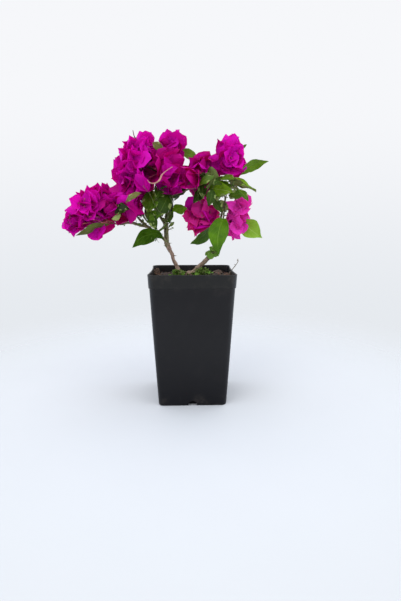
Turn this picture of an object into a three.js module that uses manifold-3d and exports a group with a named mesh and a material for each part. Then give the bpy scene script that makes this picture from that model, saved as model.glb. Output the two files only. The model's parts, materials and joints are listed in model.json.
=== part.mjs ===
// A young bougainvillea in a tall square nursery pot: two woody stems from one root, which fork
// into boughs under masses of papery bracts and a few masses of leaves.
// Millimetres, +Z up. The origin is the middle of the pot's flat underside, the pot's sides face
// along X and Y, and -Y is the front.
import * as THREE from "three";
import { mergeVertices } from "three/addons/utils/BufferGeometryUtils.js";
import Module from "manifold-3d";

const wasm = await Module();
wasm.setup();

// ---------------------------------------------------------------- driving dimensions

const GAP = 0.3; // clearance between touching solids

const POT = {
  height: 200,
  topHalf: 64, // half of the lip's outer width
  baseHalf: 52.7, // half of the foot's outer width
  topCorner: 9,
  baseCorner: 8,
  cornerSteps: 3,
  lipHeight: 19,
  lipStep: 1.2, // how far the lip band stands out of the wall
  wall: 1.4,
  floor: 2.2,
  notchWidth: 13,
  notchHeight: 8,
  notchReach: 10, // how far a drain notch runs in under the floor
};

const SOIL = { top: 190, domeSteps: 3 };

const LIMB_SIDES = 8;
const BLADE_SIDES = 6;
const BLADE_THICKNESS = 2.4;
const MASS_DETAIL = 2; // icosahedron subdivisions of a mass
const SMALL_MASS = 10; // a mass with a smaller half size than this has one subdivision less
const LARGE_MASS = 36; // and one with a larger half size has one more
const LUMP_DEPTH = 0.14; // how uneven the masses are, as a share of their size

const COLOURS = {
  pot: 0x17171a,
  soil: 0x3a2a20,
  bark: 0x6b5b52,
  greenBark: 0x77745c,
  bracts: 0xa80f78,
  leaves: 0x44661c,
};

// Woody limbs. Each runs from its foot to its tip through at most two points between, and tapers
// from the first radius to the last. A flare widens the foot over the first part of its length,
// and a swelling widens the tip where boughs part. A limb's foot is sunk in the one it grows from.
const STEMS = [
  {
    name: "stem_left",
    path: [[-15, 12, 184], [-26, 9, 211], [-38, 3, 242]],
    radius: [2.7, 2.6],
    flare: 2.4,
    swelling: 1.8,
  },
  {
    name: "stem_right",
    path: [[-7, 12, 183], [10, 10, 203], [31, 4, 224]],
    radius: [3.6, 3.0],
    flare: 4.4,
    swelling: 0.8,
  },
  {
    name: "bough_right",
    path: [[30, 4, 222.5], [43, 3, 260], [50, 1, 289], [47, -4, 318]],
    radius: [2.6, 1.9],
  },
];

const BOUGHS = [
  {
    name: "bough_left",
    path: [[-37.5, 3, 241], [-48.5, 1, 254], [-64, -1, 265]],
    radius: [2.5, 2.1],
  },
  {
    name: "bough_left_outer",
    path: [[-63, -1, 264.5], [-84, -4, 270], [-128, -8, 273]],
    radius: [2.1, 1.5],
  },
  {
    name: "bough_centre",
    path: [[-37.5, 3, 241], [-37.5, 1, 261], [-41, -2, 290]],
    radius: [3.1, 2.4],
  },
  {
    name: "bough_back_left",
    path: [[-39, 4, 239], [-45, 24, 274], [-84, 54, 330]],
    radius: [2.2, 1.5],
  },
  {
    name: "bough_back_middle",
    path: [[-38, 4, 239], [-41, 25, 268], [-36, 40, 308]],
    radius: [2.0, 1.4],
  },
  {
    name: "bough_back_right",
    path: [[31, 5, 221], [39, 27, 254], [53, 45, 300]],
    radius: [2.1, 1.4],
  },
  {
    name: "twig_centre",
    path: [[-41, -2, 286], [-40, -2, 304], [-16, 0, 317], [6, 2, 324]],
    radius: [1.5, 1.0],
  },
  {
    name: "twig_low_middle",
    path: [[38, 3, 245], [27, 8, 256], [14, 12, 276]],
    radius: [1.5, 1.1],
  },
  {
    name: "twig_low_right",
    path: [[43, 3, 256], [55, 6, 264], [70, 8, 278]],
    radius: [1.5, 1.1],
  },
];

// Masses of bracts and of leaves: middle, half sizes along X, Y and Z, and the tilt of the X axis
// up towards +X, in degrees. An earlier mass keeps its shape, and a later one gives way to it.
const MASSES = [
  { name: "leaves_centre", kind: "leaves", at: [-49, -8, 292], half: [22, 22, 28], tilt: -15 },
  { name: "bracts_far_left", kind: "bracts", at: [-144, -8, 296], half: [38, 34, 26], tilt: 32 },
  { name: "bracts_tip_left", kind: "bracts", at: [-180, -6, 271], half: [15, 17, 13], tilt: 30 },
  { name: "bracts_low_left", kind: "bracts", at: [-141, -12, 258], half: [16, 14, 12], tilt: 10 },
  { name: "bracts_inner_left", kind: "bracts", at: [-92, -22, 296], half: [26, 26, 21], tilt: 12 },
  { name: "bracts_crown_left", kind: "bracts", at: [-83, 0, 350], half: [33, 38, 42], tilt: -12 },
  { name: "bracts_top_left", kind: "bracts", at: [-66, 4, 387], half: [15, 18, 16], tilt: 0 },
  { name: "bracts_crown_middle", kind: "bracts", at: [-36, -14, 345], half: [31, 34, 34], tilt: 10 },
  { name: "bracts_top", kind: "bracts", at: [-28, 12, 385], half: [22, 20, 20], tilt: 0 },
  { name: "bracts_right_middle", kind: "bracts", at: [18, 12, 348], half: [27, 30, 25], tilt: 20 },
  { name: "bracts_top_right", kind: "bracts", at: [57, -4, 367], half: [21, 24, 30], tilt: 10 },
  { name: "leaves_inner_right", kind: "leaves", at: [24, -22, 322], half: [18, 20, 24], tilt: 20 },
  { name: "leaves_outer_right", kind: "leaves", at: [61, -12, 324], half: [25, 22, 17], tilt: -15 },
  { name: "bracts_low_middle", kind: "bracts", at: [14, 11, 281], half: [25, 25, 31], tilt: 15 },
  { name: "bracts_low_right", kind: "bracts", at: [72, 8, 280], half: [18, 20, 31], tilt: -16 },
  { name: "bracts_back_left", kind: "bracts", at: [-88, 60, 346], half: [33, 30, 36], tilt: 0 },
  { name: "bracts_back_middle", kind: "bracts", at: [-37, 62, 358], half: [34, 30, 33], tilt: 0 },
  { name: "bracts_back_right", kind: "bracts", at: [22, 57, 334], half: [28, 27, 28], tilt: 0 },
  { name: "leaves_back_middle", kind: "leaves", at: [-36, 44, 324], half: [25, 22, 17], tilt: 0 },
  { name: "leaves_back_right", kind: "leaves", at: [57, 46, 312], half: [23, 22, 24], tilt: 0 },
  { name: "bracts_front_middle", kind: "bracts", at: [-60, -44, 330], half: [17, 16, 15], tilt: 0 },
  { name: "bracts_front_right", kind: "bracts", at: [4, -40, 336], half: [15, 15, 15], tilt: 0 },
  { name: "leaves_stem_tuft", kind: "leaves", at: [33, 0, 226], half: [8.5, 8, 6], tilt: 0 },
];

// Low tufts of young leaves on the soil round the stems' feet: middle, half sizes, height.
const TUFTS = [
  { name: "basal_leaves_left", at: [-20, 2], half: [14, 12], height: 9 },
  { name: "basal_leaves_right", at: [16, 4], half: [16, 12], height: 13 },
];

// Large leaves that stand clear of the masses: a stalk from the limb or mass that bears it to the
// blade's heel, then the blade over a middle point to its tip. side points across the blade.
const BLADES = [
  {
    name: "leaf_low_left",
    stalk: [-37, 1, 243],
    heel: [-49, -6, 251],
    middle: [-69, -12, 253],
    tip: [-88, -20, 234],
    side: [0.35, -0.4, 0.85],
    halfWidth: 14,
  },
  {
    name: "leaf_far_left",
    stalk: [-112, -8, 272],
    heel: [-122, -14, 270],
    middle: [-144, -26, 263],
    tip: [-167, -34, 254],
    side: [0.2, -0.6, 0.75],
    halfWidth: 8.5,
  },
  {
    name: "leaf_far_right",
    stalk: [60, 4, 282],
    heel: [67, 0, 275],
    middle: [86, -6, 266],
    tip: [106, -10, 249],
    side: [0.5, 0.1, 0.85],
    halfWidth: 15.5,
  },
  {
    name: "leaf_top_right",
    stalk: [56, -2, 334],
    heel: [69, 0, 341],
    middle: [88, -3, 355],
    tip: [114, -6, 360],
    side: [-0.2, -0.75, 0.6],
    halfWidth: 11,
  },
  {
    name: "leaf_top_middle",
    stalk: [-22, 20, 366],
    heel: [-14, 24, 372],
    middle: [-3, 28, 375],
    tip: [10, 30, 362],
    side: [0.5, 0.5, 0.7],
    halfWidth: 8,
  },
  {
    name: "leaf_front",
    stalk: [46, 2, 274],
    heel: [48, -18, 281],
    middle: [37.5, -36, 256],
    tip: [40.5, -43, 226],
    side: [1, -0.1, 0.1],
    halfWidth: 13,
  },
  {
    name: "leaf_under_right",
    stalk: [43, 3, 262],
    heel: [32, -8, 264],
    middle: [16, -18, 252],
    tip: [-3, -27, 242],
    side: [0.3, -0.4, 0.85],
    halfWidth: 12.5,
  },
  {
    name: "leaf_middle",
    stalk: [-44, -2, 288],
    heel: [-30, -5, 288],
    middle: [-18, -9, 293],
    tip: [-6, -14, 291],
    side: [0, -0.6, 0.8],
    halfWidth: 9,
  },
];

// ---------------------------------------------------------------- geometry

const vector = (xyz) => new THREE.Vector3(...xyz);

// A closed surface through equal rings of points, with a flat fan over the first and the last.
// Each ring runs anticlockwise about the way from ring to ring.
function skin(rings) {
  const sides = rings[0].length;
  const points = rings.flat();
  const index = [];
  rings.slice(1).forEach((_, k) => {
    for (let i = 0; i < sides; i++) {
      const next = (i + 1) % sides;
      const [a, b] = [k * sides + i, k * sides + next];
      index.push(a, b, b + sides, a, b + sides, a + sides);
    }
  });
  const cap = (ring, offset, turned) => {
    const middle = points.length;
    points.push(ring.reduce((sum, p) => sum.add(p), new THREE.Vector3()).divideScalar(sides));
    for (let i = 0; i < sides; i++) {
      const pair = [offset + i, offset + ((i + 1) % sides)];
      index.push(middle, ...(turned ? pair.reverse() : pair));
    }
  };
  cap(rings[0], 0, true);
  cap(rings[rings.length - 1], (rings.length - 1) * sides, false);
  return new THREE.BufferGeometry().setFromPoints(points).setIndex(index);
}

// The manifold-3d solid of a closed geometry.
function solidOf(geometry) {
  const bare = geometry.clone();
  bare.deleteAttribute("normal");
  bare.deleteAttribute("uv");
  const merged = mergeVertices(bare, 1e-3);
  return new wasm.Manifold(
    new wasm.Mesh({
      numProp: 3,
      vertProperties: merged.attributes.position.array,
      triVerts: new Uint32Array(merged.index.array),
    }),
  );
}

// A square ring with rounded corners, at height z.
function squareRing(half, corner, z) {
  const ring = [];
  for (let quarter = 0; quarter < 4; quarter++) {
    for (let step = 0; step <= POT.cornerSteps; step++) {
      const angle = ((quarter + step / POT.cornerSteps) * Math.PI) / 2;
      const middle = ((quarter + 0.5) * Math.PI) / 2;
      const out = (half - corner) * Math.SQRT2;
      ring.push(
        new THREE.Vector3(
          out * Math.cos(middle) + corner * Math.cos(angle),
          out * Math.sin(middle) + corner * Math.sin(angle),
          z,
        ),
      );
    }
  }
  return ring;
}

// The pot's outer half width and corner radius at height z, without the lip band's step.
function potSection(z) {
  const up = z / POT.height;
  return {
    half: THREE.MathUtils.lerp(POT.baseHalf, POT.topHalf, up),
    corner: THREE.MathUtils.lerp(POT.baseCorner, POT.topCorner, up),
  };
}

function potRing(z, inset) {
  const { half, corner } = potSection(z);
  return squareRing(half - inset, Math.max(corner - inset, 1), z);
}

function makePot() {
  const lipFoot = POT.height - POT.lipHeight;
  const footRound = 1.5; // the rounding under the foot
  const shell = solidOf(
    skin([
      potRing(0, footRound + POT.lipStep),
      potRing(footRound, POT.lipStep),
      potRing(lipFoot, POT.lipStep),
      potRing(lipFoot, 0),
      potRing(POT.height, 0),
      potRing(POT.height, POT.wall),
      potRing(lipFoot - POT.wall, POT.wall + POT.lipStep),
      potRing(POT.floor, POT.wall + POT.lipStep),
    ]),
  );
  return [0, 1, 2, 3].reduce(
    (pot, side) => pot.subtract(drainNotch((side * Math.PI) / 2)),
    shell,
  );
}

// A round-topped notch through the foot of one side, which runs in under the floor.
function drainNotch(turn) {
  const half = POT.notchWidth / 2;
  const shoulder = POT.notchHeight - half;
  const arch = new THREE.Shape()
    .moveTo(-half, -1)
    .lineTo(half, -1)
    .lineTo(half, shoulder)
    .absarc(0, shoulder, half, 0, Math.PI, false)
    .closePath();
  const geometry = new THREE.ExtrudeGeometry(arch, {
    depth: POT.notchReach + 4,
    bevelEnabled: false,
    curveSegments: 4,
  });
  // the arch stands in the XZ plane and runs outwards through the side at -Y
  geometry
    .rotateX(Math.PI / 2)
    .translate(0, -(POT.baseHalf - POT.notchReach), 0)
    .rotateZ(turn);
  return solidOf(geometry);
}

function makeSoil(extra) {
  const clear = POT.wall + POT.lipStep + GAP;
  const floor = POT.floor + GAP;
  return solidOf(
    skin([
      potRing(floor, clear),
      potRing(POT.height - POT.lipHeight - POT.wall, clear),
      potRing(SOIL.top + extra, clear),
    ]),
  );
}

// The radius of a limb at share t of its length.
function limbRadius({ radius, flare = 0, swelling = 0 }, t) {
  const FLARE_SHARE = 0.4;
  const SWELLING_SHARE = 0.16;
  const foot = flare * Math.max(0, 1 - t / FLARE_SHARE) ** 2;
  const tip = swelling * Math.max(0, 1 - (1 - t) / SWELLING_SHARE) ** 0.7;
  return THREE.MathUtils.lerp(radius[0], radius[1], t) + foot + tip;
}

// Rings along a curve. size(t) gives the half width and half thickness of the section, and
// extra widens it all round and pushes both ends out.
function sweep(curve, steps, sides, size, extra, across) {
  const frames = curve.computeFrenetFrames(steps, false);
  const rings = [];
  for (let k = 0; k <= steps; k++) {
    const t = k / steps;
    const tangent = frames.tangents[k];
    const wide = across
      ? across.clone().projectOnPlane(tangent).normalize()
      : frames.normals[k];
    const thick = tangent.clone().cross(wide);
    const end = k === 0 ? -extra : k === steps ? extra : 0;
    const middle = curve.getPointAt(t).addScaledVector(tangent, end);
    const [halfWidth, halfThickness] = size(t);
    const ring = [];
    for (let i = 0; i < sides; i++) {
      const angle = (i / sides) * 2 * Math.PI;
      ring.push(
        middle
          .clone()
          .addScaledVector(wide, (halfWidth + extra) * Math.cos(angle))
          .addScaledVector(thick, (halfThickness + extra) * Math.sin(angle)),
      );
    }
    rings.push(ring);
  }
  return solidOf(skin(rings));
}

function makeLimb(limb, extra) {
  const STEP = 12; // length of one straight stretch
  const curve = new THREE.CatmullRomCurve3(limb.path.map(vector), false, "catmullrom", 0.5);
  const steps = Math.max(4, Math.round(curve.getLength() / STEP));
  const size = (t) => [limbRadius(limb, t), limbRadius(limb, t)];
  return sweep(curve, steps, LIMB_SIDES, size, extra);
}

// How far a mass reaches in direction d, as a share of its half size.
function unevenness(d, seed) {
  const broad = Math.sin(4.1 * d.x + 1.7 * seed) * Math.cos(3.7 * d.y - 2.3 * seed);
  const fine = Math.sin(6.3 * d.z + 1.3 * seed + 2.2 * d.x) * Math.cos(5.1 * d.y + seed);
  return 1 + LUMP_DEPTH * (0.7 * broad + 0.6 * fine);
}

function makeMass({ at, half, tilt, seed }, extra) {
  const size = Math.max(...half);
  const detail = MASS_DETAIL + (size > LARGE_MASS ? 1 : 0) - (size < SMALL_MASS ? 1 : 0);
  const geometry = new THREE.IcosahedronGeometry(1, detail);
  const place = geometry.attributes.position;
  const d = new THREE.Vector3();
  for (let i = 0; i < place.count; i++) {
    d.fromBufferAttribute(place, i).normalize();
    const reach = unevenness(d, seed);
    place.setXYZ(i, ...[d.x, d.y, d.z].map((c, axis) => c * (half[axis] * reach + extra)));
  }
  geometry.rotateY(-THREE.MathUtils.degToRad(tilt)).translate(...at);
  return solidOf(geometry);
}

// A low dome with a flat foot on the soil.
function makeTuft({ at, half, height }, extra) {
  const rings = [];
  const foot = SOIL.top + GAP;
  const SIDES = 14;
  for (let k = 0; k <= SOIL.domeSteps; k++) {
    const rise = (0.88 * k) / SOIL.domeSteps;
    const spread = Math.sqrt(1 - rise ** 2);
    const ring = [];
    for (let i = 0; i < SIDES; i++) {
      const angle = (i / SIDES) * 2 * Math.PI;
      const wave = 1 + 0.08 * Math.sin(3 * angle + at[0]);
      ring.push(
        new THREE.Vector3(
          at[0] + (half[0] * spread * wave + extra) * Math.cos(angle),
          at[1] + (half[1] * spread * wave + extra) * Math.sin(angle),
          foot + rise * height + (k ? extra : 0),
        ),
      );
    }
    rings.push(ring);
  }
  return solidOf(skin(rings));
}

// A leaf blade on its stalk, as one thin pad.
function makeBlade({ stalk, heel, middle, tip, side, halfWidth }, extra) {
  const STEPS = 10;
  const STALK_RADIUS = 0.9;
  const curve = new THREE.CatmullRomCurve3([stalk, heel, middle, tip].map(vector));
  const heelShare = vector(stalk).distanceTo(vector(heel)) / curve.getLength();
  const size = (t) => {
    const along = Math.max(0, (t - heelShare) / (1 - heelShare));
    const outline = Math.sin(Math.PI * along ** 0.8) ** 0.8;
    const width = STALK_RADIUS + (halfWidth - STALK_RADIUS) * Math.max(0, outline);
    return [t === 1 ? 0.4 : width, Math.min(width, BLADE_THICKNESS / 2)];
  };
  return sweep(curve, STEPS, BLADE_SIDES, size, extra, vector(side).normalize());
}

// ---------------------------------------------------------------- assembly

const finish = (colour, roughness) =>
  new THREE.MeshStandardMaterial({ color: colour, roughness, metalness: 0 });

const materials = {
  pot: finish(COLOURS.pot, 0.45),
  soil: finish(COLOURS.soil, 1),
  bark: finish(COLOURS.bark, 0.85),
  greenBark: finish(COLOURS.greenBark, 0.8),
  bracts: finish(COLOURS.bracts, 0.6),
  leaves: finish(COLOURS.leaves, 0.5),
};

const plant = new THREE.Group();
const container = new THREE.Group();
const wood = new THREE.Group();
const crown = new THREE.Group();
plant.add(container, wood, crown);

// Adds one named solid to a group, with its own origin at pivot.
function add(group, name, material, pivot, solid) {
  const { vertProperties, triVerts } = solid.translate(pivot.map((c) => -c)).getMesh();
  const geometry = new THREE.BufferGeometry()
    .setAttribute("position", new THREE.BufferAttribute(new Float32Array(vertProperties), 3))
    .setIndex(new THREE.BufferAttribute(new Uint32Array(triVerts), 1));
  geometry.computeVertexNormals();
  const mesh = new THREE.Mesh(geometry, material);
  mesh.name = name;
  mesh.position.set(...pivot);
  group.add(mesh);
}

const inTheWay = []; // the solids grown so far, each wider by the gap

// Grows the next solid of the plant. It gives way to every one grown before it, and only its
// largest remaining body is kept.
function grow(group, name, material, pivot, make) {
  const cut = inTheWay.reduce((solid, other) => solid.subtract(other), make(0));
  const body = cut.decompose().reduce((a, b) => (b.volume() > a.volume() ? b : a));
  inTheWay.push(make(GAP));
  add(group, name, material, pivot, body);
}

add(container, "pot", materials.pot, [0, 0, 0], makePot());
grow(container, "soil", materials.soil, [0, 0, SOIL.top], makeSoil);
for (const limb of STEMS) {
  grow(wood, limb.name, materials.bark, limb.path[0], (extra) => makeLimb(limb, extra));
}
MASSES.forEach((mass, seed) => {
  const make = (extra) => makeMass({ ...mass, seed }, extra);
  grow(crown, mass.name, materials[mass.kind], mass.at, make);
});
for (const limb of BOUGHS) {
  grow(wood, limb.name, materials.greenBark, limb.path[0], (extra) => makeLimb(limb, extra));
}
for (const tuft of TUFTS) {
  const pivot = [...tuft.at, SOIL.top];
  grow(crown, tuft.name, materials.leaves, pivot, (extra) => makeTuft(tuft, extra));
}
for (const blade of BLADES) {
  grow(crown, blade.name, materials.leaves, blade.heel, (extra) => makeBlade(blade, extra));
}

export default plant;
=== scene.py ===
# A young bougainvillea in a tall square nursery pot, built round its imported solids. Twigs grow on
# from the limbs by a seeded rule, and carry leaves and groups of three papery bracts in place of
# each solid mass. Lengths are in metres where nothing else is said.
import json
import math
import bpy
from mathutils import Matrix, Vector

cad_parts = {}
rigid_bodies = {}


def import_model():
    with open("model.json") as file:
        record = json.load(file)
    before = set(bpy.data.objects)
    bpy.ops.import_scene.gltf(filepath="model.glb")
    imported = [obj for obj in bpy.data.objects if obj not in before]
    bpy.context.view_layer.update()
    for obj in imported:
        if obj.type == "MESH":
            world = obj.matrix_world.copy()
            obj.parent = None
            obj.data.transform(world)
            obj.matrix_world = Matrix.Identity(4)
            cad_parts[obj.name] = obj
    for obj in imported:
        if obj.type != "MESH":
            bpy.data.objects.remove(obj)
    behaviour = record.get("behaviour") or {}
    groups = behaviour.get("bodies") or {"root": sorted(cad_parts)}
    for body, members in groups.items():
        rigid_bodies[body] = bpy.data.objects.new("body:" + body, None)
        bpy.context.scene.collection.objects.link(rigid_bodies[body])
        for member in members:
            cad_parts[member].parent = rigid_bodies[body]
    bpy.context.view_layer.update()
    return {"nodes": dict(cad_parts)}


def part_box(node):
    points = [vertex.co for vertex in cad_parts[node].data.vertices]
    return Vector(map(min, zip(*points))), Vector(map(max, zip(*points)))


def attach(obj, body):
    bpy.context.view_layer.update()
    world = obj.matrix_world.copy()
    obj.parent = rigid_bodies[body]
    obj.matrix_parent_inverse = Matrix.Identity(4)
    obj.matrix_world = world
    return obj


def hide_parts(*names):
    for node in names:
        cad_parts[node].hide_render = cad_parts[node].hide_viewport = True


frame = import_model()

import zlib

import bmesh
import bpy
import numpy as np
from mathutils import Euler, Matrix, Vector, noise
from mathutils.bvhtree import BVHTree

NODES = frame["nodes"]
SCENE = bpy.context.scene
MM = 0.001
UP = np.array([0.0, 0.0, 1.0])

BRACT_MASSES = sorted(n for n in NODES if n.startswith("bracts_"))
STEM_TUFT = "leaves_stem_tuft"
LEAF_MASSES = sorted(n for n in NODES if n.startswith("leaves_") and n != STEM_TUFT)
SINGLE_LEAVES = sorted(n for n in NODES if n.startswith("leaf_"))
TUFTS = sorted(n for n in NODES if n.startswith("basal_leaves_"))
LIMBS = sorted(n for n in NODES if n.startswith(("stem_", "bough_", "twig_")))


def seeded(name):
    """Random numbers that belong to one name, so that a change to one piece moves no other."""
    return np.random.default_rng(zlib.crc32(name.encode()))


def unit(v):
    return np.asarray(v, float) / max(np.linalg.norm(v), 1e-12)


def lengths(vectors):
    return np.linalg.norm(vectors, axis=-1)


def dots(a, b):
    """The dot product of each vector of a with its own one of b."""
    return np.einsum("...i,...i->...", a, b)


def box_of(node):
    """The lowest and the highest corner of a node's box."""
    return [np.array(corner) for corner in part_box(node)]


def drawn(rng, **ranges):
    """Values by name. A pair is a range, from which the value is drawn."""
    return {name: rng.uniform(*value) if isinstance(value, tuple) else value
            for name, value in ranges.items()}


def set_attribute(mesh, name, kind, domain, values):
    field = "vector" if kind == "FLOAT_VECTOR" else "value"
    mesh.attributes.new(name, kind, domain).data.foreach_set(field, np.ravel(values))


# -------- camera and light

def make_camera():
    """The camera stands at the height of the crown's foot and looks down a little."""
    data = bpy.data.cameras.new("camera")
    data.sensor_width = 36
    data.lens = 26
    camera = bpy.data.objects.new("camera", data)
    camera.location = (-0.008, -0.666, 0.283)
    camera.rotation_euler = Euler((math.radians(78.9), 0, math.radians(-1.845)))
    SCENE.collection.objects.link(camera)
    SCENE.camera = camera


def make_lamp(name, place, target, size, power):
    data = bpy.data.lights.new(name, "AREA")
    data.shape = "DISK"
    data.size = size
    data.energy = power
    lamp = bpy.data.objects.new(name, data)
    lamp.location = place
    lamp.rotation_euler = (Vector(target) - Vector(place)).to_track_quat("-Z", "Y").to_euler()
    SCENE.collection.objects.link(lamp)


# -------- node trees

class Value:
    """A socket that takes part in sums, such as 1 - mask * 0.5."""

    def __init__(self, tree, socket):
        self.tree = tree
        self.socket = socket

    def maths(self, operation, *values):
        inputs = dict(enumerate(values))
        return self.tree.add("ShaderNodeMath", {"operation": operation}, inputs).out()

    def __add__(self, other):
        return self.maths("ADD", self, other)

    def __sub__(self, other):
        return self.maths("SUBTRACT", self, other)

    def __mul__(self, other):
        return self.maths("MULTIPLY", self, other)

    def __rsub__(self, other):
        return self.maths("SUBTRACT", other, self)

    __radd__ = __add__
    __rmul__ = __mul__

    def absolute(self):
        return self.maths("ABSOLUTE", self)

    def clamped(self):
        return self.maths("MINIMUM", self.maths("MAXIMUM", self, 0.0), 1.0)

    def ramp(self, low, high):
        """0 below low, 1 above high, and smooth between."""
        settings = {"interpolation_type": "SMOOTHSTEP"}
        inputs = {"Value": self, "From Min": low, "From Max": high}
        return self.tree.add("ShaderNodeMapRange", settings, inputs).out("Result")


class Node:
    def __init__(self, tree, node):
        self.tree = tree
        self.node = node

    def out(self, name=0):
        return Value(self.tree, self.node.outputs[name])


class Tree:
    """A node tree, and the one way in which nodes are added to it."""

    def __init__(self, tree):
        self.tree = tree

    def add(self, kind, settings=None, inputs=None):
        node = self.tree.nodes.new(kind)
        for name, value in (settings or {}).items():
            setattr(node, name, value)
        for name, value in (inputs or {}).items():
            if isinstance(value, Value):
                self.tree.links.new(value.socket, node.inputs[name])
            else:
                node.inputs[name].default_value = value
        return Node(self, node)

    def step(self, kind, geometry, **inputs):
        """What a node makes of a geometry."""
        named_inputs = {name.replace("_", " "): value for name, value in inputs.items()}
        return self.add("GeometryNode" + kind, None, {"Geometry": geometry, **named_inputs}).out()

    def mixed(self, share, low, high):
        """low where share is 0, high where it is 1."""
        inputs = {0: share, 6: low, 7: high}
        return self.add("ShaderNodeMix", {"data_type": "RGBA"}, inputs).out(2)


class Finish(Tree):
    """A material under construction, with the patterns that its colours are made from."""

    def __init__(self, name):
        self.material = bpy.data.materials.new(name)
        self.material.use_nodes = True
        self.material.node_tree.nodes.clear()
        super().__init__(self.material.node_tree)
        self.place = self.add("ShaderNodeTexCoord").out("Object")

    def uv(self):
        """How far along and how far across a blade."""
        coords = self.add("ShaderNodeTexCoord").out("UV")
        split = self.add("ShaderNodeSeparateXYZ", None, {0: coords})
        return split.out("X"), split.out("Y")

    def attribute(self, name, output="Fac"):
        return self.add("ShaderNodeAttribute", {"attribute_name": name}).out(output)

    def stretched(self, scale, vector=None):
        inputs = {"Vector": vector or self.place, "Scale": scale}
        return self.add("ShaderNodeMapping", None, inputs).out()

    def noise(self, scale, detail=3.0, roughness=0.55, vector=None):
        inputs = {"Vector": vector or self.place, "Scale": scale, "Detail": detail}
        inputs["Roughness"] = roughness
        return self.add("ShaderNodeTexNoise", None, inputs).out("Fac")

    def cells(self, scale, vector=None, feature="F1"):
        inputs = {"Vector": vector or self.place, "Scale": scale}
        node = self.add("ShaderNodeTexVoronoi", {"feature": feature}, inputs)
        return node.out("Distance")

    def bumped(self, height, strength, distance):
        inputs = {"Strength": strength, "Distance": distance, "Height": height}
        return self.add("ShaderNodeBump", None, inputs).out()

    def finished(self, colour, roughness, normal=None, glow=0.0, through=None, **fixed):
        """Ends the material. glow is the share of light that shines through a thin blade, and
        through is its colour there."""
        relief = {} if normal is None else {"Normal": normal}
        inputs = {"Base Color": colour, "Roughness": roughness, **relief}
        inputs.update((name.replace("_", " "), value) for name, value in fixed.items())
        shader = self.add("ShaderNodeBsdfPrincipled", None, inputs).out()
        if glow:
            inputs = {"Color": through or colour, **relief}
            through = self.add("ShaderNodeBsdfTranslucent", None, inputs).out()
            shader = self.add("ShaderNodeMixShader", None, {0: glow, 1: shader, 2: through}).out()
        self.add("ShaderNodeOutputMaterial", None, {"Surface": shader})
        return self.material


def rgb(red, green, blue):
    """A colour given as it looks on a screen, from 0 to 255, as the linear colour of a socket."""
    return tuple(((c / 255 + 0.055) / 1.055) ** 2.4 for c in (red, green, blue)) + (1.0,)


# -------- finishes

def pot_plastic():
    f = Finish("black moulded plastic")
    height = f.add("ShaderNodeSeparateXYZ", None, {0: f.place}).out("Z")
    cloud = f.noise(14.0, 4.0)
    grain = f.noise(900.0, 2.0)
    flow = f.noise(1.0, 3.0, vector=f.stretched((18.0, 18.0, 210.0)))
    dust = f.noise(55.0, 6.0, 0.7).ramp(0.5, 0.75)
    near_rim = height.ramp(0.165, 0.200)
    near_foot = 1 - height.ramp(0.0, 0.025)
    dirt = (dust * (near_rim * 0.16 + near_foot * 0.22 + 0.03)).clamped()
    # Painted shade: the lower part of the pot is darkened to a bluish black, most at the foot and
    # fading out 11 cm up.
    low = 1 - height.ramp(0.0, 0.11)
    black = f.mixed(cloud, rgb(20, 20, 22), rgb(28, 28, 31))
    black = f.mixed(low * 0.95, black, rgb(2, 1, 8))
    # Painted highlight: the lip band is mixed halfway to a lighter grey.
    black = f.mixed(height.ramp(0.176, 0.184) * 0.5, black, rgb(36, 37, 36))
    colour = f.mixed(dirt, black, rgb(92, 84, 76))
    roughness = 0.30 + cloud * 0.12 + dirt * 0.4 + flow * 0.06
    normal = f.bumped(grain * 0.4 + flow * 0.8, 0.2, 0.0006)
    return f.finished(colour, roughness, normal, Specular_IOR_Level=0.22)


def soil_finish(name, dark, light, bump):
    f = Finish(name)
    lumps = f.noise(160.0, 6.0, 0.7)
    fibres = f.noise(1.0, 4.0, 0.6, f.stretched((240.0, 90.0, 240.0)))
    colour = f.mixed((lumps * 0.7 + fibres * 0.5 - 0.1).clamped(), dark, light)
    height = f.add("ShaderNodeSeparateXYZ", None, {0: f.place}).out("Z")
    # Painted shade: the mix darkens to near black towards the bottom of the pot, fully below 2 cm and
    # fading out by 12 cm.
    colour = f.mixed(1 - height.ramp(0.02, 0.12), colour, rgb(9, 8, 8))
    normal = f.bumped(lumps + fibres * 0.5, bump, 0.002)
    return f.finished(colour, 0.92, normal, Specular_IOR_Level=0.25)


def bark_finish():
    """Brown and furrowed on the old wood, greener and smoother on the young boughs."""
    f = Finish("bark")
    grain = f.attribute("grain", "Vector")
    youth = f.attribute("youth")
    furrow = f.noise(1.0, 5.0, 0.65, f.stretched((900.0, 900.0, 150.0), grain))
    blotch = f.noise(95.0, 4.0, 0.6)
    speck = f.cells(620.0).ramp(0.0, 0.35)
    old = f.mixed(furrow.ramp(0.3, 0.7), rgb(92, 66, 56), rgb(188, 160, 144))
    young = f.mixed(furrow.ramp(0.25, 0.75), rgb(56, 66, 30), rgb(108, 120, 68))
    colour = f.mixed((youth + (blotch - 0.5) * 0.7).clamped(), old, young)
    colour = f.mixed((1 - speck) * 0.35, colour, rgb(172, 158, 140))
    colour = f.mixed(blotch.ramp(0.55, 0.8) * 0.45, colour, rgb(62, 46, 40))
    normal = f.bumped(furrow + (1 - speck) * 0.4, 0.6, 0.0012)
    return f.finished(colour, 0.78, normal, Specular_IOR_Level=0.3)


def twig_finish(name, dark, light):
    f = Finish(name)
    streak = f.noise(190.0, 4.0, 0.6)
    colour = f.mixed(streak.ramp(0.3, 0.7), dark, light)
    return f.finished(colour, 0.62, f.bumped(streak, 0.3, 0.0006), Specular_IOR_Level=0.35)


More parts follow.
